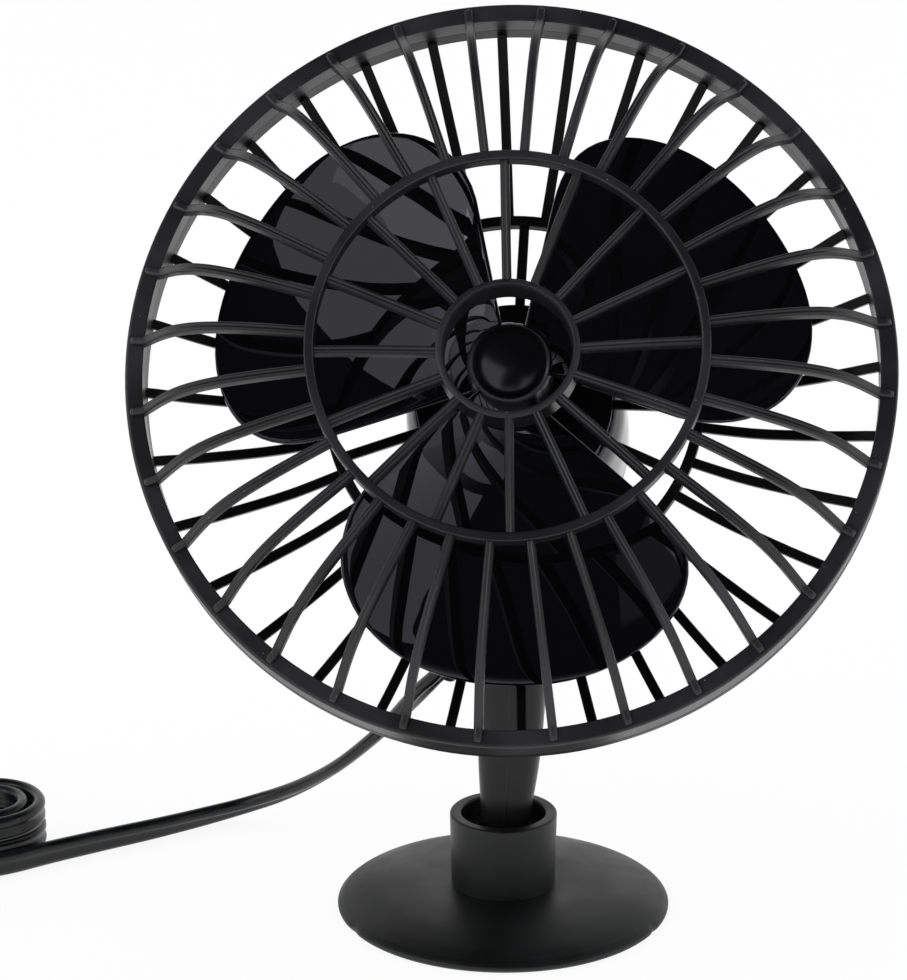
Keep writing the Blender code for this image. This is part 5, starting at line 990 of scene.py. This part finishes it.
# Soft black rubber: matt, greyed by a thin bloom that lies in clouds each 14 mm, with a skin of
# fine pits and a little sheen.
rubber = finish("soft_rubber", "black_rubber", cloud=(0.07, 5.0, 0.6),
                tone=[(0.35, "#070809"), (0.75, "#0f1213")], polish=[(0.3, "#a9a9a9"), (0.7, "#bcbcbc")],
                grain=(1.8, 2.0, 0.5), relief=(0.3, 0.03), sheen=0.42)

in_gland = placer(gland_root, unit(np.cross(gland_line, UP)), gland_line)
gland = turned(GLAND_OUTLINE, 48, in_gland, 0.2, 2)
make_piece("strain_relief", [gland], "stem", rubber, ("lead_gland",))

# Suction cup: one moulding in soft rubber. The thin skirt rises to a thick neck that grips the
# ball's socket; its rim has two small nicks where the mould's flash was trimmed, each given by
# its angle, depth and half width in radians.
CUP_OUTLINE = ((0.0, 2.1), (11.8, 2.0), (17.7, 1.4), (29.5, 0.0), (31.3, 0.0), (31.9, 0.6), (31.9, 1.2),
               (31.0, 2.0), (27.9, 3.15), (23.0, 4.22), (16.4, 4.98), (11.5, 5.16), (9.95, 5.18),
               (10.05, 9.0), (10.24, 17.6), (10.28, 19.2), (10.0, 19.5), (8.35, 19.5), (8.1, 19.25),
               (8.1, 12.0), (8.1, 3.7), (0.0, 3.7))
CUP_ROUNDING = (0.1, 2.0, 2.0, 0.4, 0.25, 0.25, 0.3, 0.5, 2.0, 3.0, 2.0, 0.5, 0.05, 1.0, 0.6, 0.14,
                0.14, 0.12, 0.12, 0.5, 0.3, 0.1)
CUP_STEPS = 240
NICKS = ((-2.62, 0.4, 0.045), (-0.38, 0.42, 0.03))
NICK_START = 30.2
NICK_REACH = 1.7

in_cup = placer(cup_middle, np.array([1.0, 0.0, 0.0]), UP)
cup_profile = rounded(CUP_OUTLINE, CUP_ROUNDING, 5, closed=False)
cup_turns = np.linspace(0.0, math.tau, CUP_STEPS, endpoint=False)
cup_out = np.broadcast_to(cup_profile[1:-1, :1], (len(cup_profile) - 2, CUP_STEPS))
cup_up = np.broadcast_to(cup_profile[1:-1, 1:], cup_out.shape)
out_share = np.clip((cup_out - NICK_START) / NICK_REACH, 0.0, 1.0) ** 2
for angle, depth, width in NICKS:
    away = (cup_turns - angle + math.pi) % math.tau - math.pi
    cup_out = cup_out - depth * np.exp(-(away / width) ** 2) * out_share
cup_rings = np.stack([cup_out * np.cos(cup_turns), cup_out * np.sin(cup_turns), cup_up], axis=-1)
cup_tips = tuple(in_cup([[0.0, 0.0, cup_profile[0, 1]], [0.0, 0.0, cup_profile[-1, 1]]]))
make_piece("cup", [skin(in_cup(cup_rings), tips=cup_tips)], "base", rubber, ("suction_cup",))

# Hank tie: a soft plastic strap wrapped round the loops at their waist. It is a flat band with
# rounded edges that goes once round a box with rounded corners.
TIE_HALF = 12.68
TIE_HEIGHT = 12.15
TIE_HALF_WIDTH = 3.0
TIE_HALF_THICKNESS = 0.25
TIE_CORNER = 1.6
TIE_EDGE = 0.2

in_tie = placer(in_hank(np.zeros(3)), hank_axes[1], hank_way)
tie_low, tie_high = TIE_HALF_THICKNESS, TIE_HEIGHT + TIE_HALF_THICKNESS
tie_corners = [(-TIE_HALF, tie_low), (TIE_HALF, tie_low), (TIE_HALF, tie_high), (-TIE_HALF, tie_high)]
tie_line = rounded(tie_corners, TIE_CORNER, 6)
tie_way = unit(np.roll(tie_line, -1, axis=0) - np.roll(tie_line, 1, axis=0))
tie_out = np.stack([tie_way[:, 1], -tie_way[:, 0]], axis=1)
band = box_outline(TIE_HALF_WIDTH, TIE_HALF_THICKNESS, TIE_EDGE, 2)
tie_rings = np.concatenate([tie_line[:, None] + tie_out[:, None] * band[None, :, 1:],
                            np.broadcast_to(band[None, :, :1], (len(tie_line), len(band), 1))], axis=2)
make_piece("strap", [skin(in_tie(tie_rings), joined=True)], "base", rubber, ("hank_tie",))

# Lighter plug: a satin barrel with a screwed nose, a sprung centre pin, a sprung leaf at each side,
# a ringed grip and a soft boot where the lead goes in.
BARREL_OUTLINE = ((0.0, 0.0), (9.3, 0.0), (10.4, 1.1), (10.4, 3.2), (10.05, 3.5), (10.05, 4.3),
                  (10.4, 4.6), (10.4, 5.8), (10.05, 6.1), (10.05, 6.9), (10.4, 7.2), (10.4, 8.4),
                  (10.05, 8.7), (10.05, 9.5), (10.4, 9.8), (10.4, 30.0), (8.2, 36.0), (3.4, 36.0),
                  (3.4, 2.2), (0.0, 2.2))
NOSE_OUTLINE = ((4.9, 36.3), (7.6, 36.3), (7.6, 44.2), (6.5, 45.3), (3.6, 45.3), (3.6, 43.7), (4.9, 43.7))
PIN_OUTLINE = ((0.0, 41.4), (4.6, 41.4), (4.6, 43.4), (3.2, 43.4), (3.2, 48.4), (1.9, 50.1), (0.0, 50.3))
BOOT_OUTLINE = ((0.0, -0.3), (5.6, -0.3), (5.6, -2.8), (4.6, -3.4), (4.5, -4.4), (4.9, -4.8),
                (4.6, -6.0), (4.0, -6.4), (3.9, -7.4), (4.3, -7.8), (4.0, -9.0), (3.5, -9.4),
                (3.4, -10.4), (3.7, -10.8), (3.4, -12.0), (3.0, -14.0), (0.0, -14.0))
POCKET_HALF = (2.3, 7.3)
POCKET_REACH = (5.7, 14.0)
CONTACT_CENTRE = 22.0
CONTACT_HALF_WIDTH = 2.0
CONTACT_HALF_LENGTH = 7.0
CONTACT_ROOT = 7.5
CONTACT_CREST = 12.0
LEAF_THICKNESS = 1.2

plug_side = np.cross(UP, plug_way)
in_plug = placer(plug_origin, plug_side, plug_way)
contact_place = in_plug([0.0, 0.0, CONTACT_CENTRE])
pockets = []
for side in (-1, 1):
    in_pocket = placer(contact_place, UP, side * plug_side)
    pockets.append(slab(box_outline(*POCKET_HALF, 0.4), *POCKET_REACH, CUT_EDGE, in_pocket, 1))
barrel = cut(turned(BARREL_OUTLINE, 96, in_plug, 0.25, 3), pockets)
make_piece("plug_barrel", [barrel], "base", satin_black, ("plug_body",), sharp=30)
make_piece("plug_nose", [turned(NOSE_OUTLINE, 72, in_plug, 0.3, 3)], "base", satin_black, ("plug_cap",))
make_piece("centre_pin", [turned(PIN_OUTLINE, 48, in_plug, 0.4)], "plug_pin", steel, ("plug_pin",))
make_piece("plug_sleeve", [turned(BOOT_OUTLINE, 56, in_plug, 0.25, 2)], "base", rubber, ("plug_boot",))

# A leaf is a strip arched along the plug, and its arch is half a sine wave.
leaf_turn = np.linspace(0.0, math.pi, 19)
leaf_edge = CONTACT_ROOT + LEAF_THICKNESS
leaf_out = leaf_edge + (CONTACT_CREST - CONTACT_ROOT - LEAF_THICKNESS) * np.sin(leaf_turn)
leaf_crest = np.stack([CONTACT_HALF_LENGTH * np.cos(leaf_turn), leaf_out], axis=1)
leaf_foot = [(-CONTACT_HALF_LENGTH, CONTACT_ROOT), (CONTACT_HALF_LENGTH, CONTACT_ROOT)]
leaf_outline = np.vstack([leaf_foot, leaf_crest])
for name, node, side in (("leaf_front", "contact_front", -1), ("leaf_back", "contact_back", 1)):
    in_leaf = placer(contact_place, plug_way, np.cross(plug_way, side * plug_side))
    leaf = slab(leaf_outline, -CONTACT_HALF_WIDTH, CONTACT_HALF_WIDTH, 0.3, in_leaf)
    make_piece(name, [leaf], node, steel, (node,), sharp=30)

# Inner pieces: they show only through the vents, the grilles and the pivot's gaps, and take the
# finishes that such parts have. Their CAD shapes are right as they are.


def plain_finish(name, slot, cells, dark, light, roughness, metal):
    """A finish for an inner piece: two close shades in clouds, at one roughness, with a fine grain."""
    return finish(name, slot, cloud=(cells, 3.0, 0.5), tone=[(0.35, dark), (0.7, light)],
                  polish=roughness, grain=(3.0, 1.0, 0.5), relief=(0.2, 0.02), metal=metal)


copper = plain_finish("drawn_copper", "bronze_copper", 0.5, "#a8663a", "#c58452", 0.35, 1.0)
ferrite = plain_finish("sintered_ferrite", "ferrite", 0.9, "#2c2c2d", "#3f3f40", 0.7, 0.0)
nylon = plain_finish("natural_nylon", "white_nylon", 0.12, "#cfcabd", "#ddd9ce", 0.5, 0.0)
glass = plain_finish("fuse_glass", "fuse_glass", 0.06, "#c8d0ce", "#dbe0de", 0.08, 0.0)
for (material, slot), names in (
    (satin_black, ("socket_seat", "socket_ring")),
    (steel, ("plate_screw_1", "plate_screw_2", "case_screw_1", "case_screw_2", "motor_can",
             "motor_shaft", "terminal_left", "terminal_right")),
    (copper, ("armature", "commutator", "front_bearing", "rear_bearing", "brush_left", "brush_right")),
    (ferrite, ("magnet_left", "magnet_right")),
    (nylon, ("motor_end_bell",)),
    (glass, ("plug_fuse",)),
):
    for name in names:
        node = frame["nodes"][name]
        node.data.materials.clear()
        node.data.materials.append(material)
